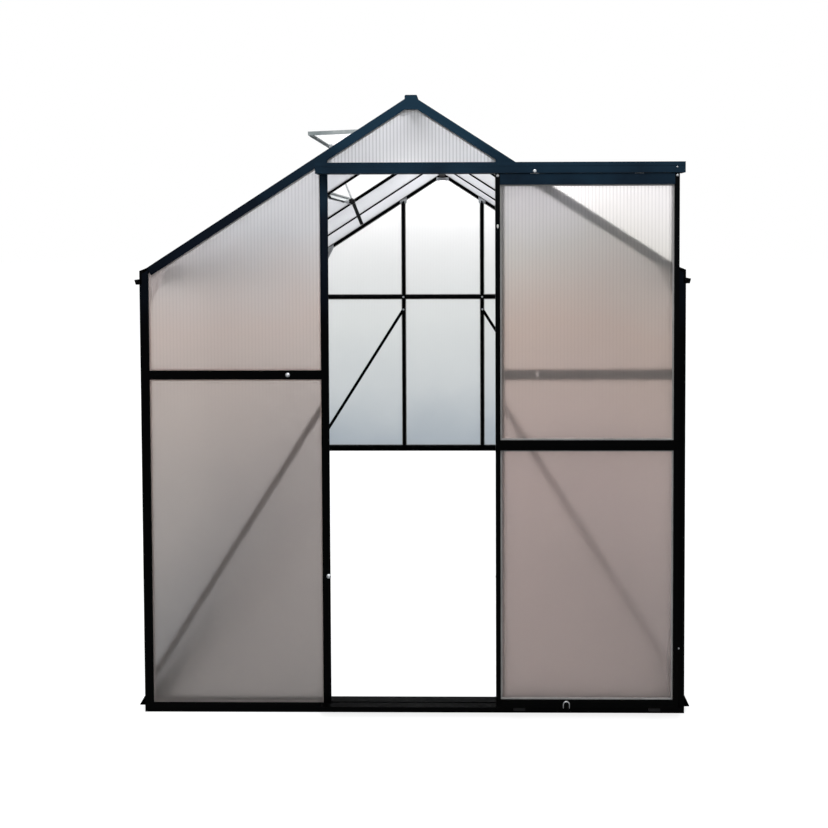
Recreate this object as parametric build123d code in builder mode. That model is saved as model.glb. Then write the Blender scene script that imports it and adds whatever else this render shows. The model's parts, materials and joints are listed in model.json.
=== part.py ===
from build123d import *
import os
from math import atan2, cos, hypot, radians, sin, tan

os.makedirs("parts", exist_ok=True)

# Driving dimensions in millimetres and degrees: X points right, the door side faces -Y, Z points up.

# Overall form
WIDTH = 1900.0
LENGTH = 2500.0
EAVE_HEIGHT = 1554.0
BAYS = 4
POST_SPACING = 610.0
RAIL_HEIGHT = 1195.0

# Glazing bars and panels
PANEL = 4.0
PANEL_PLAY = 0.2
PANEL_INSERT = 10.0
FLANGE = 2.0
BAR_FACE = 26.0
BAR_DEPTH = 30.0
SIDE_BAR_DEPTH = 15.0
BAR_WEB = 3.0
CHANNEL = 14.0
CHANNEL_WALL = 2.0
CHANNEL_MOUTH = 7.0
RAIL_FACE = 31.0
CORNER_FACE = 30.0

# Sills
SILL_HEIGHT = 33.0
SIDE_SILL_HEIGHT = 58.0
SILL_SLOT = 13.0
SILL_WALL = 2.0
FOOT_REACH = 16.0
FOOT_THICKNESS = 3.0
ANCHOR_HOLE = 9.0
ANCHOR_INSET = 300.0
LIP_REACH = 17.5
LIP_DROP = 30.0
LIP_HEM = 3.5

# Eave bar with its gutter
EAVE_UPSTAND = 6.0
GUTTER_FLOOR = 40.0
GUTTER_WIDTH = 11.0
GUTTER_WALL = 2.0
GUTTER_LIP_RISE = 15.0
GUTTER_LIP_LEAN = 4.5
EAVE_SLOT = 18.0
EAVE_SHELF = 30.0
EAVE_STOP = 12.0
EAVE_GAP = 0.5

# Ridge
RIDGE_HALF = 22.0
RIDGE_RISE = 14.0
RIDGE_DROP = 29.0
RIDGE_ROUND = 5.0
RIDGE_SLOT_STOP = 8.0
RIDGE_CAVITY = 5.0
RIDGE_CAVITY_HEIGHT = 12.0
RIDGE_FLOOR = 3.0
CAP_THICKNESS = 2.0
CAP_DROP = 36.0

# Door
DOOR_LAP = 8.0
DOOR_END_GAP = 18.0
DOOR_BOTTOM = 45.0
DOOR_TOP = 1890.0
DOOR_BACK = 14.0
DOOR_DEPTH = 20.0
STILE = 16.0
DOOR_WALL = 2.0
DOOR_INSERT = 8.0
DOOR_SLOT = 9.0
TOP_RAIL = 37.0
MIDDLE_RAIL = 34.0
MIDDLE_RAIL_TOP = 976.0
BOTTOM_RAIL = 26.0
HEADER_RISE = 38.0
HEADER_COVER = 41.7

# Door track, rollers and guides
TRACK_DEPTH = 38.0
TRACK_HEIGHT = 37.0
TRACK_WALL = 2.0
TRACK_GAP = 2.0
TRACK_LAP = 19.0
TRACK_END_INSET = 17.0
TRACK_LEDGE = 16.0
TRACK_LIP = 8.0
TRACK_GROOVE = 13.0
TRACK_GROOVE_DEPTH = 0.8
TRACK_GROOVE_HEIGHT = 2.0
ROLLER_RADIUS = 12.0
ROLLER_WIDTH = 9.0
ROLLER_BACK = 6.0
ROLLER_CHAMFER = 1.0
ROLLER_GAP = 0.3
AXLE_RADIUS = 4.0
AXLE_PLAY = 0.1
AXLE_HEAD = 1.5
AXLE_COLLAR_RADIUS = 6.0
HANGER_INSET = 135.0
HANGER_HALF = 15.0
HANGER_THICKNESS = 4.0
STOP_LENGTH = 19.7
STOP_GAP = 0.3
SUPPORT_WIDTH = 14.0
SUPPORT_THICKNESS = 3.0
SUPPORT_INSET = 3.0
LOWER_TRACK_BOTTOM = 6.0
LOWER_TRACK_TOP = 33.0
LOWER_TRACK_LEDGE = 3.0
LOWER_TRACK_REACH = 28.0
FIN_HEIGHT = 9.0
GUIDE_LENGTH = 40.0
GUIDE_INSET = 60.0
GUIDE_DEPTH = 14.0
GUIDE_PLAY = 1.0
GUIDE_GAP = 1.5

# Vent and its hinge
VENT_OPENING = 30.5
VENT_LENGTH = 515.0
VENT_OVERLAP = 10.0
VENT_RAIL = 20.0
VENT_HINGE_START = 8.0
VENT_HINGE_END = 30.0
VENT_TOP = 16.0
VENT_SKIRT = 2.2
VENT_SHELF = 2.0
VENT_WALL = 6.0
VENT_INSERT = 12.0
HINGE_OFFSET = 17.5
HINGE_RISE = 3.04
BEAD_RADIUS = 3.0
BEAD_PLAY = 0.1
LEAF = 2.0
LEAF_PLAY = 0.4
SILL_DISTANCE = 518.0

# Stay rod of the vent
STAY_REACH = 483.0
STAY_DROP = 9.5
STAY_ANGLE = 6.7
ROD_RADIUS = 4.0
ROD_PLAY = 0.4
EYE_RADIUS = 8.0
EYE_WIDTH = 8.0
PIN_RADIUS = 3.0
PIN_PLAY = 0.08
EYE_EAR_RADIUS = 8.0
EYE_PLATE = 2.5
EYE_PLATE_OVERLAP = 16.0
GRIP_RADIUS = 7.0
GRIP_LENGTH = 115.0
GRIP_ROUND = 4.0
GRIP_COLLAR_RADIUS = 9.0
GRIP_COLLAR = 5.0
GRIP_END = 10.0
GRIP_PLAY = 0.05
SWIVEL_RADIUS = 10.0
SWIVEL_HALF = 8.0
SWIVEL_GAP = 0.3
TRUNNION_RADIUS = 4.5
TRUNNION_END = 0.5
EAR = 2.5
EAR_RADIUS = 10.0
EAR_GAP = 0.3
KNOB_RADIUS = 16.0
KNOB_LENGTH = 12.0
KNOB_LOBES = 6
KNOB_LOBE_RADIUS = 5.0
KNOB_STEM_RADIUS = 2.5
KNOB_STEM_GAP = 0.5
BRACKET_HALF = 10.0
BRACKET_WEB = 2.5

# Plates and braces
PLATE = 2.0
PLATE_MARGIN = 1.6
GUSSET_REACH = 100.0
GUSSET_DROP = 72.0
GUSSET_FOOT = 22.0
GUSSET_WIDTH = 26.0
RIDGE_PLATE_HALF = 48.0
RIDGE_PLATE_HEIGHT = 24.0
POST_PLATE_HALF = 26.0
POST_PLATE_HEIGHT = 36.0
POST_PLATE_NECK = 16.0
FORK_PLAY = 0.5
BRACE_WIDTH = 22.0
BRACE_THICKNESS = 2.5
BRACE_TOP = 1112.0
BRACE_FOOT = 95.0

# Values that follow from the driving dimensions
LEFT = -1
RIGHT = 1
UP = Vector(0, 0, 1)
RIGHTWARD = Vector(1, 0, 0)
BACKWARD = Vector(0, 1, 0)
HALF_WIDTH = WIDTH / 2
POST_X = POST_SPACING / 2
HEADER_TOP = DOOR_TOP + HEADER_RISE
PITCH = atan2(HEADER_TOP + HEADER_COVER - EAVE_HEIGHT, HALF_WIDTH - POST_X)
FRONT = -(LENGTH - TRACK_DEPTH) / 2
BACK = FRONT + LENGTH
FRONT_GABLE = (FRONT, 1)
BACK_GABLE = (BACK, -1)
SLOT_FLOOR = FLANGE + PANEL + 2 * PANEL_PLAY
GLAZING = SLOT_FLOOR + FLANGE
PANEL_FACE = FLANGE + PANEL_PLAY
PANEL_BACK = PANEL_FACE + PANEL
BAR_INSERT = BAR_FACE / 2 - PANEL_INSERT
RAIL_INSERT = RAIL_FACE / 2 - PANEL_INSERT
CORNER_INSERT = CORNER_FACE - PANEL_INSERT
BAY = (LENGTH - 2 * CORNER_FACE - (BAYS - 1) * BAR_FACE) / BAYS
BAR_CENTRES = [FRONT + CORNER_FACE + bay * (BAY + BAR_FACE) - BAR_FACE / 2 for bay in range(1, BAYS)]
BAY_EDGES = [FRONT + CORNER_INSERT]
for centre in BAR_CENTRES:
    BAY_EDGES += [centre - BAR_INSERT, centre + BAR_INSERT]
BAY_EDGES += [BACK - CORNER_INSERT]
SLOPE_TO_RIDGE = (HALF_WIDTH - RIDGE_HALF) / cos(PITCH)
GUTTER_BOTTOM = EAVE_HEIGHT - GUTTER_FLOOR - GUTTER_WALL
HEADER_HEIGHT = HEADER_TOP - RAIL_FACE / 2


def roof_point(slope, depth, side=LEFT):
    """The (x, z) point this far up the slope from the wall face and this deep below the roof plane."""
    inward = slope * cos(PITCH) + depth * sin(PITCH)
    return side * (HALF_WIDTH - inward), EAVE_HEIGHT + slope * sin(PITCH) - depth * cos(PITCH)


def roof_height(inward, depth):
    """Height of the line at a depth below the roof plane, at a distance in from the wall face."""
    return EAVE_HEIGHT + (inward * sin(PITCH) - depth) / cos(PITCH)


def up_slope(side):
    """Direction up a roof slope."""
    return Vector(-side * cos(PITCH), 0, sin(PITCH))


def outward(side):
    """Direction square out of a roof slope."""
    return Vector(side * sin(PITCH), 0, cos(PITCH))


RIDGE_EDGE_HEIGHT = roof_height(HALF_WIDTH - RIDGE_HALF, 0)
RIDGE_TOP = RIDGE_EDGE_HEIGHT + RIDGE_RISE
RIDGE_BOTTOM = RIDGE_EDGE_HEIGHT - RIDGE_DROP


def add_prism(plane, outline, length, mode=Mode.ADD):
    """Extrude a closed outline of straight edges from a plane."""
    with BuildSketch(plane) as section:
        with BuildLine():
            Polyline(*outline, close=True)
        make_face()
    extrude(section.sketch, amount=length, mode=mode)


def add_along_length(outline, near, far, mode=Mode.ADD):
    """Extrude an outline of (x, z) points along Y, between two values of Y."""
    low, high = sorted((near, far))
    add_prism(Plane.XZ.offset(-high), outline, high - low, mode)


def add_gable_layer(outline, gable, near, far, mode=Mode.ADD):
    """Extrude an outline of (x, z) points between two depths inward of a gable's outer face."""
    face, inward = gable
    add_along_length(outline, face + inward * near, face + inward * far, mode)


def add_cylinder(plane, radius, length, mode=Mode.ADD):
    """Extrude a circle from a plane."""
    with BuildSketch(plane) as section:
        Circle(radius)
    extrude(section.sketch, amount=length, mode=mode)


def rectangle(left, right, bottom, top):
    """The four corners of an upright rectangle."""
    return [(left, bottom), (right, bottom), (right, top), (left, top)]


def flipped(outline):
    """An outline mirrored across the middle plane of the house."""
    return [(-across, height) for across, height in outline]


def bar_plane(start, along, inward):
    """Section plane of a bar: local Y runs inward from the outer face."""
    return Plane(origin=start, x_dir=inward.cross(along), z_dir=along)


def bar_outline(face, depth=BAR_DEPTH):
    """Glazing bar: outer flange, panel slots, inner flange and a bolt channel."""
    edge = face / 2
    web = BAR_WEB / 2
    wall = CHANNEL / 2
    hollow = wall - CHANNEL_WALL
    mouth = CHANNEL_MOUTH / 2
    lip = depth - CHANNEL_WALL
    half = [
        (edge, 0),
        (edge, FLANGE),
        (web, FLANGE),
        (web, SLOT_FLOOR),
        (edge, SLOT_FLOOR),
        (edge, GLAZING),
        (wall, GLAZING),
        (wall, depth),
        (mouth, depth),
        (mouth, lip),
        (hollow, lip),
        (hollow, GLAZING),
    ]
    return half + flipped(reversed(half))


def corner_outline():
    """Corner bar: a slot for a panel on each of its two faces."""
    return [
        (0, 0),
        (CORNER_FACE, 0),
        (CORNER_FACE, FLANGE),
        (GLAZING, FLANGE),
        (GLAZING, SLOT_FLOOR),
        (CORNER_FACE, SLOT_FLOOR),
        (CORNER_FACE, GLAZING),
        (GLAZING, GLAZING),
        (GLAZING, CORNER_FACE),
        (SLOT_FLOOR, CORNER_FACE),
        (SLOT_FLOOR, GLAZING),
        (FLANGE, GLAZING),
        (FLANGE, CORNER_FACE),
        (0, CORNER_FACE),
    ]


def cut_off(origin, direction):
    """Keep what lies behind a plane."""
    split(bisect_by=Plane(origin=origin, z_dir=direction), keep=Keep.BOTTOM)


def save(piece, name):
    """Label a finished piece and write it to its own file."""
    piece.part.label = name
    export_step(piece.part, f"parts/{name}.step")


# Front and back sills: a box section with the panel slot on top and a foot inside
def add_gable_sill(gable):
    face, inward = gable
    start = (-inward * HALF_WIDTH, face, 0)
    section = Plane(origin=start, x_dir=(0, inward, 0), z_dir=(inward, 0, 0))
    floor = SILL_HEIGHT - SILL_SLOT
    outline = [
        (0, 0),
        (BAR_DEPTH, 0),
        (BAR_DEPTH, SILL_HEIGHT),
        (SLOT_FLOOR, SILL_HEIGHT),
        (SLOT_FLOOR, floor),
        (FLANGE, floor),
        (FLANGE, SILL_HEIGHT),
        (0, SILL_HEIGHT),
    ]
    add_prism(section, outline, WIDTH)
    hollow = rectangle(GLAZING, BAR_DEPTH - SILL_WALL, SILL_WALL, SILL_HEIGHT - SILL_WALL)
    add_prism(section, hollow, WIDTH, Mode.SUBTRACT)
    inset = CORNER_FACE + FOOT_REACH
    foot = rectangle(inset - HALF_WIDTH, HALF_WIDTH - inset, 0, FOOT_THICKNESS)
    add_gable_layer(foot, gable, BAR_DEPTH, BAR_DEPTH + FOOT_REACH)
    hole_y = face + inward * (BAR_DEPTH + FOOT_REACH / 2)
    for side in (LEFT, RIGHT):
        hole_plane = Plane(origin=(side * (HALF_WIDTH - ANCHOR_INSET), hole_y, 0))
        add_cylinder(hole_plane, ANCHOR_HOLE / 2, FOOT_THICKNESS, Mode.SUBTRACT)


with BuildPart() as front_sill:
    add_gable_sill(FRONT_GABLE)
save(front_sill, "front_sill")

with BuildPart() as back_sill:
    add_gable_sill(BACK_GABLE)
save(back_sill, "back_sill")


# Side sills: taller, with a drip lip that runs the full length and folds back under to the wall
def add_side_sill(side):
    floor = SIDE_SILL_HEIGHT - SILL_SLOT
    inner = HALF_WIDTH - BAR_DEPTH
    body = [
        (HALF_WIDTH, 0),
        (HALF_WIDTH, SIDE_SILL_HEIGHT),
        (HALF_WIDTH - FLANGE, SIDE_SILL_HEIGHT),
        (HALF_WIDTH - FLANGE, floor),
        (HALF_WIDTH - SLOT_FLOOR, floor),
        (HALF_WIDTH - SLOT_FLOOR, SIDE_SILL_HEIGHT),
        (inner, SIDE_SILL_HEIGHT),
        (inner, FOOT_THICKNESS),
        (inner - FOOT_REACH, FOOT_THICKNESS),
        (inner - FOOT_REACH, 0),
    ]
    hollow = rectangle(
        inner + SILL_WALL, HALF_WIDTH - GLAZING, FOOT_THICKNESS, SIDE_SILL_HEIGHT - SILL_WALL
    )
    lip_edge = HALF_WIDTH + LIP_REACH
    lip_foot = SIDE_SILL_HEIGHT - LIP_DROP
    lip = [
        (HALF_WIDTH, SIDE_SILL_HEIGHT),
        (lip_edge, lip_foot),
        (lip_edge, lip_foot - LIP_HEM),
        (HALF_WIDTH, lip_foot - LIP_HEM),
        (HALF_WIDTH, lip_foot - LIP_HEM + FLANGE),
        (lip_edge - FLANGE, lip_foot - LIP_HEM + FLANGE),
        (lip_edge - FLANGE, lip_foot),
        (HALF_WIDTH, SIDE_SILL_HEIGHT - 2 * FLANGE),
    ]
    if side == LEFT:
        body, hollow, lip = flipped(body), flipped(hollow), flipped(lip)
    add_along_length(body, FRONT + CORNER_FACE, BACK - CORNER_FACE)
    add_along_length(hollow, FRONT + CORNER_FACE, BACK - CORNER_FACE, Mode.SUBTRACT)
    add_along_length(lip, FRONT, BACK)


with BuildPart() as left_sill:
    add_side_sill(LEFT)
save(left_sill, "left_sill")

with BuildPart() as right_sill:
    add_side_sill(RIGHT)
save(right_sill, "right_sill")


# Eave bars: panel slots for wall and roof, and a gutter that ends flush with both gables
def add_gutter(side):
    floor = EAVE_HEIGHT - GUTTER_FLOOR
    slot_top = GUTTER_BOTTOM + EAVE_SLOT
    lip_foot = HALF_WIDTH + GUTTER_WIDTH
    lip_top = floor + GUTTER_LIP_RISE
    lean = GUTTER_LIP_LEAN
    outline = [
        roof_point(EAVE_SHELF, 0, RIGHT),
        (HALF_WIDTH, EAVE_HEIGHT + EAVE_UPSTAND),
        (HALF_WIDTH, floor),
        (lip_foot, floor),
        (lip_foot + lean, lip_top),
        (lip_foot + lean + GUTTER_WALL, lip_top),
        (lip_foot + GUTTER_WALL, GUTTER_BOTTOM),
        (HALF_WIDTH - FLANGE, GUTTER_BOTTOM),
        (HALF_WIDTH - FLANGE, slot_top),
        (HALF_WIDTH - SLOT_FLOOR, slot_top),
        (HALF_WIDTH - SLOT_FLOOR, GUTTER_BOTTOM),
        (HALF_WIDTH - GLAZING, GUTTER_BOTTOM),
        (HALF_WIDTH - GLAZING, roof_height(GLAZING, GLAZING)),
        roof_point(EAVE_SHELF, GLAZING, RIGHT),
        roof_point(EAVE_SHELF, SLOT_FLOOR, RIGHT),
        roof_point(EAVE_STOP, SLOT_FLOOR, RIGHT),
        roof_point(EAVE_STOP, FLANGE, RIGHT),
        roof_point(EAVE_SHELF, FLANGE, RIGHT),
    ]
    if side == LEFT:
        outline = flipped(outline)
    add_along_length(outline, FRONT, BACK)


with BuildPart() as left_gutter:
    add_gutter(LEFT)
save(left_gutter, "left_gutter")

with BuildPart() as right_gutter:
    add_gutter(RIGHT)
save(right_gutter, "right_gutter")


# Corner posts: they stand on the gable sills and fit under the gutters and rafters
def add_corner_posts(gable):
    face, inward = gable
    top = roof_height(CORNER_FACE, 0)
    foot = (-HALF_WIDTH, face, SILL_HEIGHT)
    if inward > 0:
        section = Plane(origin=foot, x_dir=RIGHTWARD, z_dir=UP)
    else:
        section = Plane(origin=foot, x_dir=-BACKWARD, z_dir=UP)
    add_prism(section, corner_outline(), top - SILL_HEIGHT)
    under_roof = GLAZING + EAVE_GAP
    clear = CORNER_FACE + EAVE_GAP
    cut = [
        (-HALF_WIDTH - EAVE_GAP, GUTTER_BOTTOM),
        (-HALF_WIDTH + GLAZING, GUTTER_BOTTOM),
        (-HALF_WIDTH + GLAZING, roof_height(GLAZING, under_roof)),
        (-HALF_WIDTH + clear, roof_height(clear, under_roof)),
        (-HALF_WIDTH + clear, top + EAVE_GAP),
        (-HALF_WIDTH - EAVE_GAP, top + EAVE_GAP),
    ]
    add_gable_layer(cut, gable, 0, CORNER_FACE, Mode.SUBTRACT)
    mirror(about=Plane.YZ)


with BuildPart() as front_corner_posts:
    add_corner_posts(FRONT_GABLE)
save(front_corner_posts, "front_corner_posts")

with BuildPart() as back_corner_posts:
    add_corner_posts(BACK_GABLE)
save(back_corner_posts, "back_corner_posts")


# Door posts and back posts: from the sill up to the underside of the rafters
def add_gable_posts(gable):
    face, inward = gable
    section = bar_plane((-POST_X, face, SILL_HEIGHT), UP, BACKWARD * inward)
    add_prism(section, bar_outline(BAR_FACE), RIDGE_TOP - SILL_HEIGHT)
    under_x, under_z = roof_point(0, BAR_DEPTH)
    cut_off((under_x, 0, under_z), outward(LEFT))
    mirror(about=Plane.YZ)


with BuildPart() as door_posts:
    add_gable_posts(FRONT_GABLE)
save(door_posts, "door_posts")

with BuildPart() as back_posts:
    add_gable_posts(BACK_GABLE)
save(back_posts, "back_posts")

# Side wall bars: from the side sill up to the gutter
for side, side_name in ((LEFT, "left"), (RIGHT, "right")):
    with BuildPart() as wall_bars:
        for centre in BAR_CENTRES:
            foot = (side * HALF_WIDTH, centre, SIDE_SILL_HEIGHT)
            section = bar_plane(foot, UP, RIGHTWARD * -side)
            add_prism(section, bar_outline(BAR_FACE, SIDE_BAR_DEPTH), GUTTER_BOTTOM - SIDE_SILL_HEIGHT)
    save(wall_bars, f"{side_name}_wall_bars")


# Rafters: corner bars between the gutter and the ridge, cut plumb at the ridge
def add_rafters(gable):
    face, inward = gable
    start_x, start_z = roof_point(EAVE_SHELF, 0)
    start = (start_x, face, start_z)
    length = SLOPE_TO_RIDGE - EAVE_SHELF + BAR_DEPTH
    if inward > 0:
        section = Plane(origin=start, x_dir=-outward(LEFT), z_dir=up_slope(LEFT))
    else:
        section = Plane(origin=start, x_dir=BACKWARD * inward, z_dir=up_slope(LEFT))
    add_prism(section, corner_outline(), length)
    cut_off((-RIDGE_HALF, 0, 0), RIGHTWARD)
    mirror(about=Plane.YZ)


with BuildPart() as front_rafters:
    add_rafters(FRONT_GABLE)
save(front_rafters, "front_rafters")

with BuildPart() as back_rafters:
    add_rafters(BACK_GABLE)
save(back_rafters, "back_rafters")

# Roof bars: in line with the wall bars
for side, side_name in ((LEFT, "left"), (RIGHT, "right")):
    with BuildPart() as roof_bars:
        start_x, start_z = roof_point(EAVE_SHELF, 0, side)
        for centre in BAR_CENTRES:
            section = bar_plane((start_x, centre, start_z), up_slope(side), -outward(side))
            length = SLOPE_TO_RIDGE - EAVE_SHELF + BAR_DEPTH
            add_prism(section, bar_outline(BAR_FACE, SIDE_BAR_DEPTH), length)
        cut_off((side * RIDGE_HALF, 0, 0), RIGHTWARD * -side)
    save(roof_bars, f"{side_name}_roof_bars")


# Ridge bar: roof panel slots, a bead groove for the vent hinge on each side, and a hollow middle
HINGE_X = -HINGE_OFFSET
HINGE_Z = roof_height(HALF_WIDTH - HINGE_OFFSET, 0) + HINGE_RISE
VENT_TILT = PITCH - radians(VENT_OPENING)


def vent_point(reach, rise, tilt=VENT_TILT):
    """The (x, z) point this far out from the hinge and this high over the vent's middle plane."""
    return (
        HINGE_X - reach * cos(tilt) - rise * sin(tilt),
        HINGE_Z - reach * sin(tilt) + rise * cos(tilt),
    )


def ridge_outline(bottom):
    """Outline of the ridge with its rounded top corners."""
    with BuildSketch(Plane.XZ.offset(-BACK)) as outline:
        with BuildLine():
            Polyline(*rectangle(-RIDGE_HALF, RIDGE_HALF, bottom, RIDGE_TOP), close=True)
        make_face()
        fillet(outline.vertices().sort_by(Axis.Y)[-2:], radius=RIDGE_ROUND)
    return outline.sketch


with BuildPart() as ridge_bar:
    extrude(ridge_outline(RIDGE_BOTTOM), amount=LENGTH)
    slot_stop = HALF_WIDTH - RIDGE_SLOT_STOP
    slot_mouth = HALF_WIDTH - RIDGE_HALF - PANEL
    panel_slot = [
        (-RIDGE_SLOT_STOP, roof_height(slot_stop, FLANGE)),
        (slot_mouth - HALF_WIDTH, roof_height(slot_mouth, FLANGE)),
        (slot_mouth - HALF_WIDTH, roof_height(slot_mouth, SLOT_FLOOR)),
        (-RIDGE_SLOT_STOP, roof_height(slot_stop, SLOT_FLOOR)),
    ]
    throat = LEAF / 2 + LEAF_PLAY
    hinge_throat = [
        vent_point(0, throat),
        vent_point(RIDGE_HALF, throat),
        vent_point(RIDGE_HALF, -throat, PITCH),
        vent_point(0, -throat, PITCH),
    ]
    groove = Plane(origin=(HINGE_X, BACK, HINGE_Z), x_dir=RIGHTWARD, z_dir=-BACKWARD)
    mirrored_groove = Plane(origin=(-HINGE_X, BACK, HINGE_Z), x_dir=RIGHTWARD, z_dir=-BACKWARD)
    add_along_length(panel_slot, FRONT, BACK, Mode.SUBTRACT)
    add_along_length(flipped(panel_slot), FRONT, BACK, Mode.SUBTRACT)
    add_along_length(hinge_throat, FRONT, BACK, Mode.SUBTRACT)
    add_along_length(flipped(hinge_throat), FRONT, BACK, Mode.SUBTRACT)
    add_cylinder(groove, BEAD_RADIUS + BEAD_PLAY, LENGTH, Mode.SUBTRACT)
    add_cylinder(mirrored_groove, BEAD_RADIUS + BEAD_PLAY, LENGTH, Mode.SUBTRACT)
    cavity_bottom = RIDGE_BOTTOM + RIDGE_FLOOR
    cavity = rectangle(-RIDGE_CAVITY, RIDGE_CAVITY, cavity_bottom, cavity_bottom + RIDGE_CAVITY_HEIGHT)
    add_along_length(cavity, FRONT, BACK, Mode.SUBTRACT)
    end_layer = rectangle(-WIDTH, WIDTH, 0, 2 * RIDGE_TOP)
    add_gable_layer(end_layer, FRONT_GABLE, 0, CAP_THICKNESS, Mode.SUBTRACT)
    add_gable_layer(end_layer, BACK_GABLE, 0, CAP_THICKNESS, Mode.SUBTRACT)
save(ridge_bar, "ridge_bar")

# Ridge end caps: they close the ridge bar and cover the top of the gable panels
with BuildPart() as ridge_end_caps:
    extrude(ridge_outline(RIDGE_EDGE_HEIGHT - CAP_DROP), amount=LENGTH)
    between_caps = rectangle(-WIDTH, WIDTH, 0, 2 * RIDGE_TOP)
    add_along_length(between_caps, FRONT + CAP_THICKNESS, BACK - CAP_THICKNESS, Mode.SUBTRACT)
save(ridge_end_caps, "ridge_end_caps")


# Rails: they run between the posts at one height, and the header closes the top of the doorway
def add_rail(gable, left, right, height):
    face, inward = gable
    section = bar_plane((left, face, height), RIGHTWARD, BACKWARD * inward)
    add_prism(section, bar_outline(RAIL_FACE), right - left)


SIDE_BAY_OUTER = HALF_WIDTH - CORNER_FACE
SIDE_BAY_INNER = POST_X + BAR_FACE / 2
MIDDLE_BAY = POST_X - BAR_FACE / 2

with BuildPart() as front_rails:
    add_rail(FRONT_GABLE, -SIDE_BAY_OUTER, -SIDE_BAY_INNER, RAIL_HEIGHT)
    add_rail(FRONT_GABLE, SIDE_BAY_INNER, SIDE_BAY_OUTER, RAIL_HEIGHT)
save(front_rails, "front_rails")

with BuildPart() as back_rails:
    add_rail(BACK_GABLE, -SIDE_BAY_OUTER, -SIDE_BAY_INNER, RAIL_HEIGHT)
    add_rail(BACK_GABLE, -MIDDLE_BAY, MIDDLE_BAY, RAIL_HEIGHT)
    add_rail(BACK_GABLE, SIDE_BAY_INNER, SIDE_BAY_OUTER, RAIL_HEIGHT)
save(back_rails, "back_rails")

with BuildPart() as door_header:
    add_rail(FRONT_GABLE, -MIDDLE_BAY, MIDDLE_BAY, HEADER_HEIGHT)
save(door_header, "door_header")


# Gable panels: they reach into the slots of posts, rails, sills and rafters
def add_gable_panel(gable, outline):
    add_gable_layer(outline, gable, PANEL_FACE, PANEL_BACK)


LOWER_PANEL_FOOT = SILL_HEIGHT - SILL_SLOT
LOWER_PANEL_TOP = RAIL_HEIGHT - RAIL_INSERT
UPPER_PANEL_FOOT = RAIL_HEIGHT + RAIL_INSERT
SIDE_PANEL_OUTER = HALF_WIDTH - CORNER_INSERT
SIDE_PANEL_INNER = POST_X + BAR_INSERT
MIDDLE_PANEL = POST_X - BAR_INSERT
PANEL_UNDER_RIDGE = RIDGE_BOTTOM - PANEL_PLAY


def lower_side_panel():
    return rectangle(SIDE_PANEL_INNER, SIDE_PANEL_OUTER, LOWER_PANEL_FOOT, LOWER_PANEL_TOP)


def upper_side_panel():
    return [
        (SIDE_PANEL_INNER, UPPER_PANEL_FOOT),
        (SIDE_PANEL_OUTER, UPPER_PANEL_FOOT),
        (SIDE_PANEL_OUTER, roof_height(CORNER_INSERT, CORNER_INSERT)),
        (SIDE_PANEL_INNER, roof_height(HALF_WIDTH - SIDE_PANEL_INNER, CORNER_INSERT)),
    ]


def middle_gable_panel(foot):
    shoulder = roof_height(HALF_WIDTH - MIDDLE_PANEL, CORNER_INSERT)
    top_half = MIDDLE_PANEL - (PANEL_UNDER_RIDGE - shoulder) / tan(PITCH)
    right_half = [
        (MIDDLE_PANEL, foot),
        (MIDDLE_PANEL, shoulder),
        (top_half, PANEL_UNDER_RIDGE),
    ]
    return right_half + flipped(reversed(right_half))


with BuildPart() as front_lower_panels:
    add_gable_panel(FRONT_GABLE, lower_side_panel())
    mirror(about=Plane.YZ)
save(front_lower_panels, "front_lower_panels")

with BuildPart() as front_upper_panels:
    add_gable_panel(FRONT_GABLE, upper_side_panel())
    mirror(about=Plane.YZ)
save(front_upper_panels, "front_upper_panels")

with BuildPart() as front_gable_panel:
    add_gable_panel(FRONT_GABLE, middle_gable_panel(HEADER_HEIGHT + RAIL_INSERT))
save(front_gable_panel, "front_gable_panel")

with BuildPart() as back_lower_panels:
    add_gable_panel(BACK_GABLE, lower_side_panel())
    mirror(about=Plane.YZ)
    add_gable_panel(BACK_GABLE, rectangle(-MIDDLE_PANEL, MIDDLE_PANEL, LOWER_PANEL_FOOT, LOWER_PANEL_TOP))
save(back_lower_panels, "back_lower_panels")

with BuildPart() as back_upper_panels:
    add_gable_panel(BACK_GABLE, upper_side_panel())
    mirror(about=Plane.YZ)
    add_gable_panel(BACK_GABLE, middle_gable_panel(UPPER_PANEL_FOOT))
save(back_upper_panels, "back_upper_panels")

# Side wall panels: one in each bay
WALL_PANEL_FOOT = SIDE_SILL_HEIGHT - SILL_SLOT
WALL_PANEL_TOP = GUTTER_BOTTOM + PANEL_INSERT

for side, side_name in ((LEFT, "left"), (RIGHT, "right")):
    layer = min(side * (HALF_WIDTH - PANEL_FACE), side * (HALF_WIDTH - PANEL_BACK))
    with BuildPart() as wall_panels:
        for near, far in zip(BAY_EDGES[::2], BAY_EDGES[1::2]):
            outline = rectangle(near, far, WALL_PANEL_FOOT, WALL_PANEL_TOP)
            add_prism(Plane.YZ.offset(layer), outline, PANEL)
    save(wall_panels, f"{side_name}_wall_panels")

# Roof panels: one in each bay, and the bay under the vent has a short one below the vent sill
VENT_BAY = 1
HINGE_SLOPE = (HALF_WIDTH + HINGE_X) * cos(PITCH) + (HINGE_Z - EAVE_HEIGHT) * sin(PITCH)
SILL_SLOPE = HINGE_SLOPE - SILL_DISTANCE
ROOF_PANEL_FOOT = EAVE_SHELF - PANEL_INSERT
ROOF_PANEL_TOP = SLOPE_TO_RIDGE + PANEL_INSERT

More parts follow.
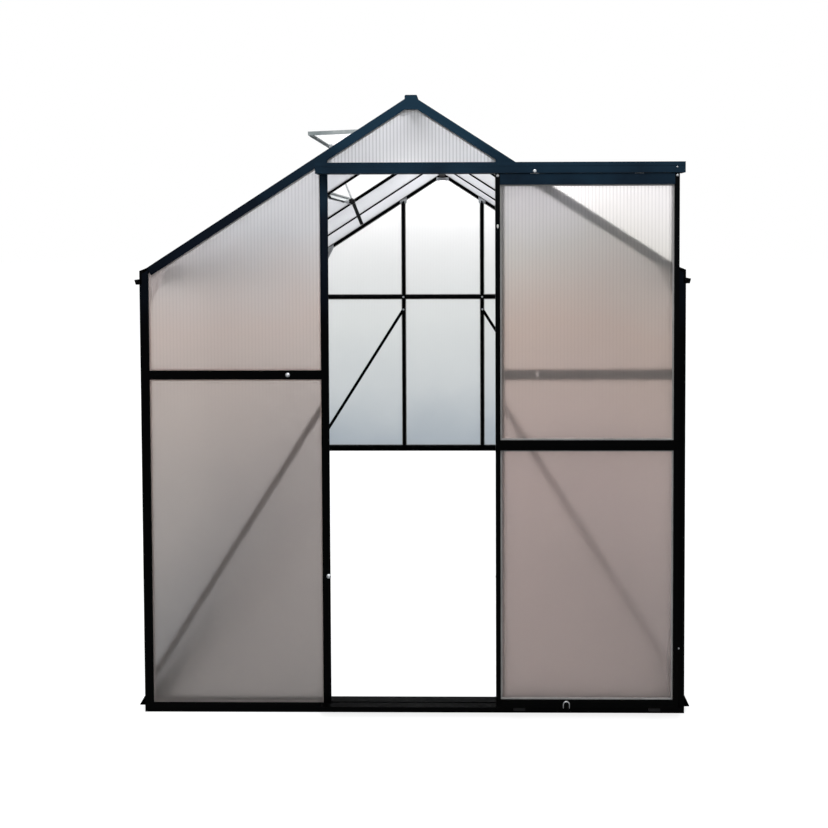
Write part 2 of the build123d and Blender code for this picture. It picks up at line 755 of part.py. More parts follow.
for side, side_name in ((LEFT, "left"), (RIGHT, "right")):
    inner_face = Plane(
        origin=(side * HALF_WIDTH, 0, EAVE_HEIGHT), x_dir=up_slope(side), z_dir=outward(side)
    ).offset(-PANEL_BACK)
    with BuildPart() as roof_panels:
        for bay, (near, far) in enumerate(zip(BAY_EDGES[::2], BAY_EDGES[1::2])):
            top = ROOF_PANEL_TOP
            if side == LEFT and bay == VENT_BAY:
                top = SILL_SLOPE - BAR_INSERT
            low, high = sorted((-side * near, -side * far))
            add_prism(inner_face, rectangle(ROOF_PANEL_FOOT, top, low, high), PANEL)
    save(roof_panels, f"{side_name}_roof_panels")

# Vent sill: a glazing bar across the vent's bay that carries the short panel and the closed vent
VENT_BAY_NEAR = BAR_CENTRES[VENT_BAY - 1]
VENT_BAY_FAR = BAR_CENTRES[VENT_BAY]
with BuildPart() as vent_sill:
    sill_x, sill_z = roof_point(SILL_SLOPE, 0)
    sill_start = (sill_x, VENT_BAY_NEAR + BAR_FACE / 2, sill_z)
    section = bar_plane(sill_start, BACKWARD, -outward(LEFT))
    add_prism(section, bar_outline(BAR_FACE), BAY)
save(vent_sill, "vent_sill")

# Sliding door at rest in front of the right bay: stiles, rails and two panels
TRACK_LEFT = POST_X + TRACK_LAP
TRACK_RIGHT = HALF_WIDTH - TRACK_END_INSET
DOOR_WIDTH = POST_SPACING + 2 * DOOR_LAP
DOOR_RIGHT = TRACK_RIGHT - DOOR_END_GAP
DOOR_LEFT = DOOR_RIGHT - DOOR_WIDTH
DOOR_OPEN_OFFSET = DOOR_RIGHT - DOOR_WIDTH / 2
DOOR_FRONT = DOOR_BACK + DOOR_DEPTH
DOOR_MIDDLE = DOOR_BACK + DOOR_DEPTH / 2
DOOR_SLOT_NEAR = DOOR_MIDDLE - PANEL / 2 - PANEL_PLAY
DOOR_SLOT_FAR = DOOR_MIDDLE + PANEL / 2 + PANEL_PLAY
DOOR_INNER_LEFT = DOOR_LEFT + STILE
DOOR_INNER_RIGHT = DOOR_RIGHT - STILE


def slotted_outline(face, slots):
    """Door section of this face width: depth in front of the gable against distance across the face."""
    outline = [(0, DOOR_FRONT)]
    if "low" in slots:
        outline += [(0, DOOR_SLOT_FAR), (DOOR_SLOT, DOOR_SLOT_FAR)]
        outline += [(DOOR_SLOT, DOOR_SLOT_NEAR), (0, DOOR_SLOT_NEAR)]
    outline += [(0, DOOR_BACK), (face, DOOR_BACK)]
    if "high" in slots:
        outline += [(face, DOOR_SLOT_NEAR), (face - DOOR_SLOT, DOOR_SLOT_NEAR)]
        outline += [(face - DOOR_SLOT, DOOR_SLOT_FAR), (face, DOOR_SLOT_FAR)]
    outline += [(face, DOOR_FRONT)]
    return outline


def add_door_bar(section, face, slots, length):
    """A door bar with a hollow behind each of its two faces."""
    add_prism(section, slotted_outline(face, slots), length)
    back = rectangle(DOOR_WALL, face - DOOR_WALL, DOOR_BACK + DOOR_WALL, DOOR_SLOT_NEAR - DOOR_WALL)
    front = rectangle(DOOR_WALL, face - DOOR_WALL, DOOR_SLOT_FAR + DOOR_WALL, DOOR_FRONT - DOOR_WALL)
    add_prism(section, back, length, Mode.SUBTRACT)
    add_prism(section, front, length, Mode.SUBTRACT)


def add_stile(left, slots):
    section = Plane(origin=(left, FRONT, DOOR_TOP), x_dir=RIGHTWARD, z_dir=-UP)
    add_door_bar(section, STILE, slots, DOOR_TOP - DOOR_BOTTOM)


def add_door_rail(bottom, face, slots):
    section = Plane(origin=(DOOR_INNER_LEFT, FRONT, bottom), x_dir=UP, z_dir=RIGHTWARD)
    add_door_bar(section, face, slots, DOOR_INNER_RIGHT - DOOR_INNER_LEFT)


with BuildPart() as door_left_stile:
    add_stile(DOOR_LEFT, ("high",))
save(door_left_stile, "door_left_stile")

with BuildPart() as door_right_stile:
    add_stile(DOOR_INNER_RIGHT, ("low",))
save(door_right_stile, "door_right_stile")

with BuildPart() as door_top_rail:
    add_door_rail(DOOR_TOP - TOP_RAIL, TOP_RAIL, ("low",))
save(door_top_rail, "door_top_rail")

with BuildPart() as door_middle_rail:
    add_door_rail(MIDDLE_RAIL_TOP - MIDDLE_RAIL, MIDDLE_RAIL, ("low", "high"))
save(door_middle_rail, "door_middle_rail")

with BuildPart() as door_bottom_rail:
    add_door_rail(DOOR_BOTTOM, BOTTOM_RAIL, ("high",))
save(door_bottom_rail, "door_bottom_rail")


def add_door_panel(bottom, top):
    outline = rectangle(
        DOOR_INNER_LEFT - DOOR_INSERT, DOOR_INNER_RIGHT + DOOR_INSERT, bottom - DOOR_INSERT, top + DOOR_INSERT
    )
    add_gable_layer(outline, FRONT_GABLE, PANEL / 2 - DOOR_MIDDLE, -PANEL / 2 - DOOR_MIDDLE)


with BuildPart() as door_upper_panel:
    add_door_panel(MIDDLE_RAIL_TOP, DOOR_TOP - TOP_RAIL)
save(door_upper_panel, "door_upper_panel")

with BuildPart() as door_lower_panel:
    add_door_panel(DOOR_BOTTOM + BOTTOM_RAIL, MIDDLE_RAIL_TOP - MIDDLE_RAIL)
save(door_lower_panel, "door_lower_panel")

# Top track: a channel over the door with a ledge for the rollers and a slot for the hangers
TRACK_BOTTOM = DOOR_TOP + TRACK_GAP
TRACK_TOP = TRACK_BOTTOM + TRACK_HEIGHT
TRACK_FLOOR = TRACK_BOTTOM + TRACK_WALL
TRACK_INNER_TOP = TRACK_TOP - TRACK_WALL
TRACK_INNER_FRONT = TRACK_DEPTH - TRACK_WALL
TRACK_LIP_BACK = TRACK_DEPTH - TRACK_LIP


def add_across(outline, left, right, mode=Mode.ADD):
    """Extrude an outline of (distance in front of the gable, height) points between two values of X."""
    section = Plane(origin=(right, FRONT, 0), x_dir=-BACKWARD, z_dir=-RIGHTWARD)
    add_prism(section, outline, right - left, mode)


with BuildPart() as door_track:
    groove_top = TRACK_TOP - TRACK_GROOVE
    groove_bottom = groove_top - TRACK_GROOVE_HEIGHT
    groove_floor = TRACK_DEPTH - TRACK_GROOVE_DEPTH
    channel = [
        (0, TRACK_BOTTOM),
        (TRACK_LEDGE, TRACK_BOTTOM),
        (TRACK_LEDGE, TRACK_FLOOR),
        (TRACK_WALL, TRACK_FLOOR),
        (TRACK_WALL, TRACK_INNER_TOP),
        (TRACK_INNER_FRONT, TRACK_INNER_TOP),
        (TRACK_INNER_FRONT, TRACK_FLOOR),
        (TRACK_LIP_BACK, TRACK_FLOOR),
        (TRACK_LIP_BACK, TRACK_BOTTOM),
        (TRACK_DEPTH, TRACK_BOTTOM),
        (TRACK_DEPTH, groove_bottom),
        (groove_floor, groove_bottom),
        (groove_floor, groove_top),
        (TRACK_DEPTH, groove_top),
        (TRACK_DEPTH, TRACK_TOP),
        (0, TRACK_TOP),
    ]
    add_across(channel, CAP_THICKNESS - TRACK_LEFT, TRACK_RIGHT - CAP_THICKNESS)
save(door_track, "door_track")

with BuildPart() as track_end_caps:
    cap = rectangle(0, TRACK_DEPTH, TRACK_BOTTOM, TRACK_TOP)
    add_across(cap, -TRACK_LEFT, CAP_THICKNESS - TRACK_LEFT)
    add_across(cap, TRACK_RIGHT - CAP_THICKNESS, TRACK_RIGHT)
save(track_end_caps, "track_end_caps")

# Track stops: plugs in the channel that end the door's travel at both sides
LEFT_HANGER = DOOR_LEFT + HANGER_INSET
RIGHT_HANGER = DOOR_RIGHT - HANGER_INSET
with BuildPart() as track_stops:
    plug = rectangle(TRACK_WALL, TRACK_INNER_FRONT, TRACK_FLOOR, TRACK_INNER_TOP)
    open_stop = RIGHT_HANGER + HANGER_HALF + STOP_GAP
    closed_stop = LEFT_HANGER - DOOR_OPEN_OFFSET - HANGER_HALF - STOP_GAP
    add_across(plug, open_stop, open_stop + STOP_LENGTH)
    add_across(plug, closed_stop - STOP_LENGTH, closed_stop)
save(track_stops, "track_stops")

# Track support: a flat bar behind the door, from the rafter up to the free end of the track
with BuildPart() as track_support:
    support_right = DOOR_RIGHT - SUPPORT_INSET
    support_left = support_right - SUPPORT_WIDTH
    support_foot = roof_height(HALF_WIDTH - support_left, CORNER_FACE)
    support = rectangle(0, SUPPORT_THICKNESS, support_foot, TRACK_BOTTOM)
    add_across(support, support_left, support_right)
save(track_support, "track_support")

# Bottom track: a ledge on the sill with an upright fin for the door guides
FIN_BACK = LOWER_TRACK_REACH - TRACK_WALL
FIN_TOP = LOWER_TRACK_TOP + FIN_HEIGHT
with BuildPart() as bottom_track:
    ledge_bottom = LOWER_TRACK_TOP - LOWER_TRACK_LEDGE
    rail = [
        (0, LOWER_TRACK_BOTTOM),
        (TRACK_WALL, LOWER_TRACK_BOTTOM),
        (TRACK_WALL, ledge_bottom),
        (LOWER_TRACK_REACH, ledge_bottom),
        (LOWER_TRACK_REACH, FIN_TOP),
        (FIN_BACK, FIN_TOP),
        (FIN_BACK, LOWER_TRACK_TOP),
        (0, LOWER_TRACK_TOP),
    ]
    add_across(rail, -TRACK_LEFT, TRACK_RIGHT)
save(bottom_track, "bottom_track")

# Door guides: forks under the bottom rail that straddle the fin
with BuildPart() as door_guides:
    fin_middle = (FIN_BACK + LOWER_TRACK_REACH) / 2
    guide_back = fin_middle - GUIDE_DEPTH / 2
    guide_front = fin_middle + GUIDE_DEPTH / 2
    guide_foot = LOWER_TRACK_TOP + GUIDE_GAP
    notch_top = FIN_TOP + GUIDE_GAP
    fork = [
        (guide_back, guide_foot),
        (FIN_BACK - GUIDE_PLAY, guide_foot),
        (FIN_BACK - GUIDE_PLAY, notch_top),
        (LOWER_TRACK_REACH + GUIDE_PLAY, notch_top),
        (LOWER_TRACK_REACH + GUIDE_PLAY, guide_foot),
        (guide_front, guide_foot),
        (guide_front, DOOR_BOTTOM),
        (guide_back, DOOR_BOTTOM),
    ]
    add_across(fork, DOOR_LEFT + GUIDE_INSET, DOOR_LEFT + GUIDE_INSET + GUIDE_LENGTH)
    add_across(fork, DOOR_RIGHT - GUIDE_INSET - GUIDE_LENGTH, DOOR_RIGHT - GUIDE_INSET)
save(door_guides, "door_guides")

# Hangers: round-topped plates on the top rail, each with an axle, a collar and a head for its roller
AXLE_HEIGHT = TRACK_FLOOR + ROLLER_GAP + ROLLER_RADIUS
HANGER_BACK = DOOR_MIDDLE - HANGER_THICKNESS / 2
ROLLER_FRONT = ROLLER_BACK + ROLLER_WIDTH


def axle_plane(centre, depth):
    """Plane across an axle, facing the house, at a distance in front of the gable."""
    return Plane(origin=(centre, FRONT - depth, AXLE_HEIGHT), x_dir=RIGHTWARD, z_dir=BACKWARD)


with BuildPart() as door_hangers:
    for centre in (LEFT_HANGER, RIGHT_HANGER):
        plate = rectangle(HANGER_BACK, HANGER_BACK + HANGER_THICKNESS, DOOR_TOP, AXLE_HEIGHT)
        add_across(plate, centre - HANGER_HALF, centre + HANGER_HALF)
        add_cylinder(axle_plane(centre, HANGER_BACK + HANGER_THICKNESS), HANGER_HALF, HANGER_THICKNESS)
        add_cylinder(
            axle_plane(centre, HANGER_BACK), AXLE_COLLAR_RADIUS, HANGER_BACK - ROLLER_FRONT - ROLLER_GAP
        )
        add_cylinder(axle_plane(centre, HANGER_BACK), AXLE_RADIUS, HANGER_BACK - ROLLER_BACK + ROLLER_GAP)
        add_cylinder(axle_plane(centre, ROLLER_BACK - ROLLER_GAP), AXLE_COLLAR_RADIUS, AXLE_HEAD)
save(door_hangers, "door_hangers")

# Rollers: wheels on the hanger axles that run on the ledge of the top track
for centre, side_name in ((LEFT_HANGER, "left"), (RIGHT_HANGER, "right")):
    with BuildPart() as roller:
        add_cylinder(axle_plane(centre, ROLLER_FRONT), ROLLER_RADIUS, ROLLER_WIDTH)
        chamfer(roller.edges().filter_by(GeomType.CIRCLE), length=ROLLER_CHAMFER)
        add_cylinder(axle_plane(centre, ROLLER_FRONT), AXLE_RADIUS + AXLE_PLAY, ROLLER_WIDTH, Mode.SUBTRACT)
    save(roller, f"{side_name}_roller")

# Roof vent at rest, open: rails round a panel, with a bead hinge in the ridge groove
VENT_NEAR = VENT_BAY_NEAR + BAR_FACE / 2 - VENT_OVERLAP
VENT_FAR = VENT_BAY_FAR - BAR_FACE / 2 + VENT_OVERLAP
VENT_MIDDLE = (VENT_NEAR + VENT_FAR) / 2
VENT_OUT = Vector(-cos(VENT_TILT), 0, -sin(VENT_TILT))
VENT_UP = Vector(-sin(VENT_TILT), 0, cos(VENT_TILT))
VENT_SLOT_LOW = VENT_SHELF + FLANGE
VENT_SLOT_HIGH = VENT_SLOT_LOW + PANEL + 2 * PANEL_PLAY


def vent_plane(reach, along, across):
    """Section plane across a vent rail, at a distance out from the hinge."""
    x, z = vent_point(reach, 0)
    return Plane(origin=(x, along, z), x_dir=across, z_dir=across.cross(VENT_UP))


def vent_rail_outline():
    """Vent rail: an outer wall with a drip edge below, a panel slot and a bevelled top."""
    return [
        (0, -VENT_SKIRT),
        (FLANGE, -VENT_SKIRT),
        (FLANGE, VENT_SHELF),
        (VENT_RAIL, VENT_SHELF),
        (VENT_RAIL, VENT_SLOT_LOW),
        (VENT_WALL, VENT_SLOT_LOW),
        (VENT_WALL, VENT_SLOT_HIGH),
        (VENT_RAIL, VENT_SLOT_HIGH),
        (VENT_RAIL, VENT_SLOT_HIGH + FLANGE),
        (VENT_WALL, VENT_TOP),
        (0, VENT_TOP),
    ]


with BuildPart() as vent_side_rails:
    side_section = vent_plane(VENT_LENGTH, VENT_NEAR, BACKWARD)
    add_prism(side_section, vent_rail_outline(), VENT_LENGTH - VENT_HINGE_START)
    mirror(about=Plane.XZ.offset(-VENT_MIDDLE))
save(vent_side_rails, "vent_side_rails")

VENT_INNER_NEAR = VENT_NEAR + VENT_RAIL
VENT_INNER_FAR = VENT_FAR - VENT_RAIL
with BuildPart() as vent_bottom_rail:
    bottom_section = vent_plane(VENT_LENGTH, VENT_INNER_FAR, -VENT_OUT)
    add_prism(bottom_section, vent_rail_outline(), VENT_INNER_FAR - VENT_INNER_NEAR)
save(vent_bottom_rail, "vent_bottom_rail")

with BuildPart() as vent_hinge_rail:
    hinge_section = vent_plane(0, VENT_INNER_NEAR, VENT_OUT)
    slot_start = VENT_HINGE_START + VENT_WALL
    hinge_outline = [
        (0, -LEAF / 2),
        (VENT_HINGE_END, -LEAF / 2),
        (VENT_HINGE_END, VENT_SLOT_LOW),
        (slot_start, VENT_SLOT_LOW),
        (slot_start, VENT_SLOT_HIGH),
        (VENT_HINGE_END, VENT_SLOT_HIGH),
        (VENT_HINGE_END, VENT_SLOT_HIGH + FLANGE),
        (slot_start, VENT_TOP),
        (VENT_HINGE_START, VENT_TOP),
        (VENT_HINGE_START, LEAF / 2),
        (0, LEAF / 2),
    ]
    add_prism(hinge_section, hinge_outline, VENT_INNER_FAR - VENT_INNER_NEAR)
    add_cylinder(hinge_section, BEAD_RADIUS, VENT_INNER_FAR - VENT_INNER_NEAR)
save(vent_hinge_rail, "vent_hinge_rail")

with BuildPart() as vent_panel:
    panel_low = VENT_SLOT_LOW + PANEL_PLAY
    panel_section = vent_plane(0, VENT_INNER_NEAR - VENT_INSERT, VENT_OUT)
    panel_end = VENT_LENGTH - VENT_RAIL + VENT_INSERT
    panel_outline = rectangle(VENT_HINGE_END - VENT_INSERT, panel_end, panel_low, panel_low + PANEL)
    add_prism(panel_section, panel_outline, VENT_INNER_FAR - VENT_INNER_NEAR + 2 * VENT_INSERT)
save(vent_panel, "vent_panel")

# Stay geometry: the eye and the swivel lie on one circle round the hinge
STAY_RADIUS = hypot(STAY_REACH, STAY_DROP)
SWIVEL_TILT = PITCH + radians(STAY_ANGLE)
EYE_X, EYE_Z = vent_point(STAY_REACH, -STAY_DROP)
SWIVEL_X = HINGE_X - STAY_RADIUS * cos(SWIVEL_TILT)
SWIVEL_Z = HINGE_Z - STAY_RADIUS * sin(SWIVEL_TILT)
STAY_SPAN = hypot(SWIVEL_X - EYE_X, SWIVEL_Z - EYE_Z)
STAY_DOWN = Vector(SWIVEL_X - EYE_X, 0, SWIVEL_Z - EYE_Z) / STAY_SPAN


def across_stay(x, z, offset):
    """Plane across the pins of the stay, at a distance along Y from the middle of the vent."""
    return Plane(origin=(x, VENT_MIDDLE + offset, z), x_dir=RIGHTWARD, z_dir=BACKWARD)


def along_stay(distance):
    """Plane across the rod at a distance from its eye."""
    start = Vector(EYE_X, VENT_MIDDLE, EYE_Z) + STAY_DOWN * distance
    return Plane(origin=start, x_dir=BACKWARD, z_dir=STAY_DOWN)


# Eye bracket: a plate under the bottom rail with two ears and the pin of the rod's eye
with BuildPart() as vent_eye_bracket:
    ear_near = EYE_WIDTH / 2 + EAR_GAP
    ear_far = ear_near + EAR
    plate_start = STAY_REACH - EYE_EAR_RADIUS
    plate_end = VENT_LENGTH - VENT_RAIL + EYE_PLATE_OVERLAP
    plate_section = vent_plane(0, VENT_MIDDLE - ear_far, VENT_OUT)
    plate_outline = rectangle(plate_start, plate_end, VENT_SHELF - EYE_PLATE, VENT_SHELF)
    add_prism(plate_section, plate_outline, 2 * ear_far)
    ear_outline = rectangle(plate_start, STAY_REACH + EYE_EAR_RADIUS, -STAY_DROP, VENT_SHELF - EYE_PLATE)
    for start in (-ear_far, ear_near):
        ear_section = vent_plane(0, VENT_MIDDLE + start, VENT_OUT)
        add_prism(ear_section, ear_outline, EAR)
        add_cylinder(across_stay(EYE_X, EYE_Z, start), EYE_EAR_RADIUS, EAR)
    add_cylinder(across_stay(EYE_X, EYE_Z, -ear_far), PIN_RADIUS, 2 * ear_far)
save(vent_eye_bracket, "vent_eye_bracket")

# Stay rod: an eye on the bracket's pin and a straight rod that ends inside the grip
GRIP_START = STAY_SPAN + SWIVEL_RADIUS + SWIVEL_GAP
ROD_END = GRIP_START + GRIP_LENGTH - GRIP_END
with BuildPart() as stay_rod:
    add_cylinder(across_stay(EYE_X, EYE_Z, -EYE_WIDTH / 2), EYE_RADIUS, EYE_WIDTH)
    add_cylinder(along_stay(0), ROD_RADIUS, ROD_END)
    add_cylinder(across_stay(EYE_X, EYE_Z, -EYE_WIDTH / 2), PIN_RADIUS + PIN_PLAY, EYE_WIDTH, Mode.SUBTRACT)
save(stay_rod, "stay_rod")

# Grip: a round-ended sleeve with a collar that meets the swivel when the vent is fully open
with BuildPart() as stay_grip:
    add_cylinder(along_stay(GRIP_START), GRIP_RADIUS, GRIP_LENGTH)
    grip_tip = stay_grip.faces().filter_by(GeomType.PLANE).sort_by(Axis.Z)[0]
    fillet(grip_tip.edges(), radius=GRIP_ROUND)
    add_cylinder(along_stay(GRIP_START), GRIP_COLLAR_RADIUS, GRIP_COLLAR)
    add_cylinder(along_stay(GRIP_START), ROD_RADIUS + GRIP_PLAY, GRIP_LENGTH - GRIP_END, Mode.SUBTRACT)
save(stay_grip, "stay_grip")

# Swivel: a barrel that turns in the bracket's ears and guides the rod through its cross bore
EAR_NEAR = SWIVEL_HALF + EAR_GAP
EAR_FAR = EAR_NEAR + EAR
TRUNNION_HALF = EAR_FAR + TRUNNION_END
STEM_DEPTH = TRUNNION_HALF - ROD_RADIUS - ROD_PLAY - KNOB_STEM_GAP
with BuildPart() as stay_swivel:
    add_cylinder(across_stay(SWIVEL_X, SWIVEL_Z, -SWIVEL_HALF), SWIVEL_RADIUS, 2 * SWIVEL_HALF)
    add_cylinder(across_stay(SWIVEL_X, SWIVEL_Z, -TRUNNION_HALF), TRUNNION_RADIUS, 2 * TRUNNION_HALF)
    bore_start = along_stay(STAY_SPAN - SWIVEL_RADIUS)
    add_cylinder(bore_start, ROD_RADIUS + ROD_PLAY, 2 * SWIVEL_RADIUS, Mode.SUBTRACT)
    stem_bore = across_stay(SWIVEL_X, SWIVEL_Z, -TRUNNION_HALF)
    add_cylinder(stem_bore, KNOB_STEM_RADIUS + PIN_PLAY, STEM_DEPTH, Mode.SUBTRACT)
save(stay_swivel, "stay_swivel")

# Clamp knob: a lobed head on a stem that reaches through the trunnion towards the rod
with BuildPart() as stay_knob:
    knob_start = -TRUNNION_HALF - EAR_GAP - KNOB_LENGTH
    head_plane = across_stay(SWIVEL_X, SWIVEL_Z, knob_start)
    with BuildSketch(head_plane) as head:
        Circle(KNOB_RADIUS)
        with PolarLocations(KNOB_RADIUS + KNOB_LOBE_RADIUS / 2, KNOB_LOBES):
            Circle(KNOB_LOBE_RADIUS, mode=Mode.SUBTRACT)
    extrude(head.sketch, amount=KNOB_LENGTH)
    stem_length = KNOB_LENGTH + EAR_GAP + STEM_DEPTH - KNOB_STEM_GAP
    add_cylinder(head_plane, KNOB_STEM_RADIUS, stem_length)
save(stay_knob, "stay_knob")

# Stay bracket: a web under the vent sill with two ears that carry the swivel
with BuildPart() as stay_bracket:
    web_middle = SILL_SLOPE
    web = [
        roof_point(web_middle - BRACKET_HALF, BAR_DEPTH),
        roof_point(web_middle + BRACKET_HALF, BAR_DEPTH),
        roof_point(web_middle + BRACKET_HALF, BAR_DEPTH + BRACKET_WEB),
        roof_point(web_middle - BRACKET_HALF, BAR_DEPTH + BRACKET_WEB),
    ]
    add_along_length(web, VENT_MIDDLE - EAR_FAR, VENT_MIDDLE + EAR_FAR)
    root_x, root_z = roof_point(web_middle, BAR_DEPTH)
    lean = Vector(SWIVEL_X - root_x, SWIVEL_Z - root_z, 0).normalized()
    ear_outline = [
        roof_point(web_middle - BRACKET_HALF, BAR_DEPTH),
        (SWIVEL_X + lean.Y * EAR_RADIUS, SWIVEL_Z - lean.X * EAR_RADIUS),
        (SWIVEL_X - lean.Y * EAR_RADIUS, SWIVEL_Z + lean.X * EAR_RADIUS),
        roof_point(web_middle + BRACKET_HALF, BAR_DEPTH),
    ]
    for start in (-EAR_FAR, EAR_NEAR):
        add_along_length(ear_outline, VENT_MIDDLE + start, VENT_MIDDLE + start + EAR)
        add_cylinder(across_stay(SWIVEL_X, SWIVEL_Z, start), EAR_RADIUS, EAR)
    ear_bore = across_stay(SWIVEL_X, SWIVEL_Z, -EAR_FAR)
    add_cylinder(ear_bore, TRUNNION_RADIUS + PIN_PLAY, 2 * EAR_FAR, Mode.SUBTRACT)
save(stay_bracket, "stay_bracket")


# Plates on the inner flanges of the gable bars
PLATE_FAR = GLAZING + PLATE
PLATE_EDGE = GLAZING + PLATE_MARGIN


def eave_gusset():
    """Right gusset: along the corner post and the foot of the rafter."""
    shoulder = HALF_WIDTH - PLATE_EDGE
    tip = HALF_WIDTH - GUSSET_REACH
    foot = GUTTER_BOTTOM - GUSSET_DROP
    return [
        (shoulder, foot),
        (shoulder - GUSSET_FOOT, foot),
        (tip, roof_height(GUSSET_REACH, PLATE_EDGE + GUSSET_WIDTH)),
        (tip, roof_height(GUSSET_REACH, PLATE_EDGE)),
        (shoulder, roof_height(PLATE_EDGE, PLATE_EDGE)),
    ]


def post_plate():
    """Right post plate: a fork that straddles the post's channel, joined under the rafter."""
    inner = POST_X - POST_PLATE_HALF
    outer = POST_X + POST_PLATE_HALF
    fork = CHANNEL / 2 + FORK_PLAY
    foot = roof_height(HALF_WIDTH - POST_X, PLATE_EDGE) - POST_PLATE_HEIGHT
    neck = PLATE_EDGE + POST_PLATE_NECK
    return [
        (inner, foot),
        (POST_X - fork, foot),
        (POST_X - fork, roof_height(HALF_WIDTH - POST_X + fork, neck)),
        (POST_X + fork, roof_height(HALF_WIDTH - POST_X - fork, neck)),
        (POST_X + fork, foot),
        (outer, foot),
        (outer, roof_height(HALF_WIDTH - outer, PLATE_EDGE)),
        (inner, roof_height(HALF_WIDTH - inner, PLATE_EDGE)),
    ]


def ridge_plate():
    """Plate across the two rafters under the ridge."""
    top = RIDGE_BOTTOM - PLATE_MARGIN
    return rectangle(-RIDGE_PLATE_HALF, RIDGE_PLATE_HALF, top - RIDGE_PLATE_HEIGHT, top)


for gable, gable_name in ((FRONT_GABLE, "front"), (BACK_GABLE, "back")):
    with BuildPart() as plates:
        add_gable_layer(eave_gusset(), gable, GLAZING, PLATE_FAR)
        add_gable_layer(post_plate(), gable, GLAZING, PLATE_FAR)
        mirror(about=Plane.YZ)
        add_gable_layer(ridge_plate(), gable, GLAZING, PLATE_FAR)
    save(plates, f"{gable_name}_plates")


# Braces: flat bars across the side bays, from the posts down to the corner posts
def brace():
    """Right brace, cut plumb at both ends."""
    inner = POST_X - CHANNEL / 2
    outer = HALF_WIDTH - SLOT_FLOOR - PANEL_PLAY
    half_rise = BRACE_WIDTH / 2 / cos(atan2(BRACE_TOP - BRACE_FOOT, outer - inner))
    return [
        (inner, BRACE_TOP - half_rise),
        (outer, BRACE_FOOT - half_rise),
        (outer, BRACE_FOOT + half_rise),
        (inner, BRACE_TOP + half_rise),
    ]


with BuildPart() as braces:
    for gable in (FRONT_GABLE, BACK_GABLE):
        add_gable_layer(brace(), gable, BAR_DEPTH, BAR_DEPTH + BRACE_THICKNESS)
    mirror(about=Plane.YZ)
save(braces, "braces")
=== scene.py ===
import bpy
import bmesh
import json
from math import cos, pi, radians, sin
from mathutils import Matrix, Vector


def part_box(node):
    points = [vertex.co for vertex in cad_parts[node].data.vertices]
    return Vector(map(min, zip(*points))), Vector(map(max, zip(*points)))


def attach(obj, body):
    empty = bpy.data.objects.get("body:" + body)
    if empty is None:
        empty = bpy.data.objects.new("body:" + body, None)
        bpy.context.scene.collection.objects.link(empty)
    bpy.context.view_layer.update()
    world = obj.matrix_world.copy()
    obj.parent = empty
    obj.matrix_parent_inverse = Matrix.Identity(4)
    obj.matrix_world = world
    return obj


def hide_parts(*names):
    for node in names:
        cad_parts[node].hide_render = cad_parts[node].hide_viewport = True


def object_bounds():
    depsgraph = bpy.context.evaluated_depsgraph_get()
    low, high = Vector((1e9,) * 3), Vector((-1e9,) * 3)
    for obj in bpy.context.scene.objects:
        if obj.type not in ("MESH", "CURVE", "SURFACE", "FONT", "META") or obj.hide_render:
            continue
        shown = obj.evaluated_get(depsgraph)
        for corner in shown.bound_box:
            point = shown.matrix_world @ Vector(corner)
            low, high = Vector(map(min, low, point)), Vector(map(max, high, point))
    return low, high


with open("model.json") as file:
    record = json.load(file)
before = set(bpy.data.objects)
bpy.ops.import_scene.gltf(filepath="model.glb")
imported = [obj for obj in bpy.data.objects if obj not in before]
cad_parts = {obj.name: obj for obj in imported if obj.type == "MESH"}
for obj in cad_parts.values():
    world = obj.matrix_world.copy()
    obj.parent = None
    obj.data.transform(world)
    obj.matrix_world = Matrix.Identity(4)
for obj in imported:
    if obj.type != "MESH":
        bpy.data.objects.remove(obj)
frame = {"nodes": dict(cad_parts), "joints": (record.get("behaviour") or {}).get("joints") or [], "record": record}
CAD_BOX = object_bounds()

# Camera of the photograph: metres from the middle of the front gable's foot, degrees, and lens in millimetres
CAMERA_DISTANCE = 2.0053
CAMERA_X = 0.1952
CAMERA_Z = 1.6877
CAMERA_YAW = -0.422
CAMERA_PITCH = 1.126
CAMERA_ROLL = 0.172
CAMERA_LENS = 25.16
CAMERA_SENSOR = 36.0
CAMERA_SHIFT_X = -0.0599
CAMERA_SHIFT_Y = -0.2045

# Sizes of the added detail, in metres
FLUTE_PITCH = 0.012
WEB_GAP = 0.0003
WEB_THICKNESS = 0.0013
SEAL_WIDTH = 0.005
SEAL_THICKNESS = 0.0016
SEAL_GAP = 0.0002
BOLT_RADIUS = 0.0055
BOLT_RISE = 0.004
SCREW_RADIUS = 0.0035
SCREW_RISE = 0.0025
SMALL_RADIUS = 0.002
TRACK_BOLT_RADIUS = 0.0042
FLAT_RISE = 0.0008
GRIP_RIB_DEPTH = 0.0007

# Counts, and the attribute that tells a sheet's material where its webs are
GRIP_RIBS = 18
ROUND_STEPS = 24
FLUTE_ATTRIBUTE = "flute"

# Tolerances in metres and square metres, and digits kept of a length in metres
MERGE_DISTANCE = 1e-6
FACE_TOLERANCE = 1e-5
STEP_TOLERANCE = 1e-4
SMALLEST_AREA = 1e-3
OUTLINE_DIGITS = 6
LEVEL_DIGITS = 4

# Nodes by finish
PANEL_NODES = [name for name in frame["nodes"] if "panel" in name]
ZINC_NODES = ["front_plates", "back_plates", "stay_bracket", "door_hangers", "vent_eye_bracket", "stay_rod"]
PLASTIC_NODES = ["track_stops", "door_guides", "stay_knob", "stay_swivel"]
NYLON_NODES = ["left_roller", "right_roller"]
BARE_NODES = ["vent_hinge_rail", "vent_bottom_rail", "vent_side_rails", "vent_sill"]
# Bars facing the front, whose paint carries a painted sky reflection, bluer and lighter towards the top
SKY_SHEEN_NODES = [
    "front_rafters",
    "door_track",
    "door_header",
    "ridge_end_caps",
    "track_end_caps",
    "door_top_rail",
    "front_corner_posts",
    "door_posts",
]
UP = Vector((0, 0, 1))


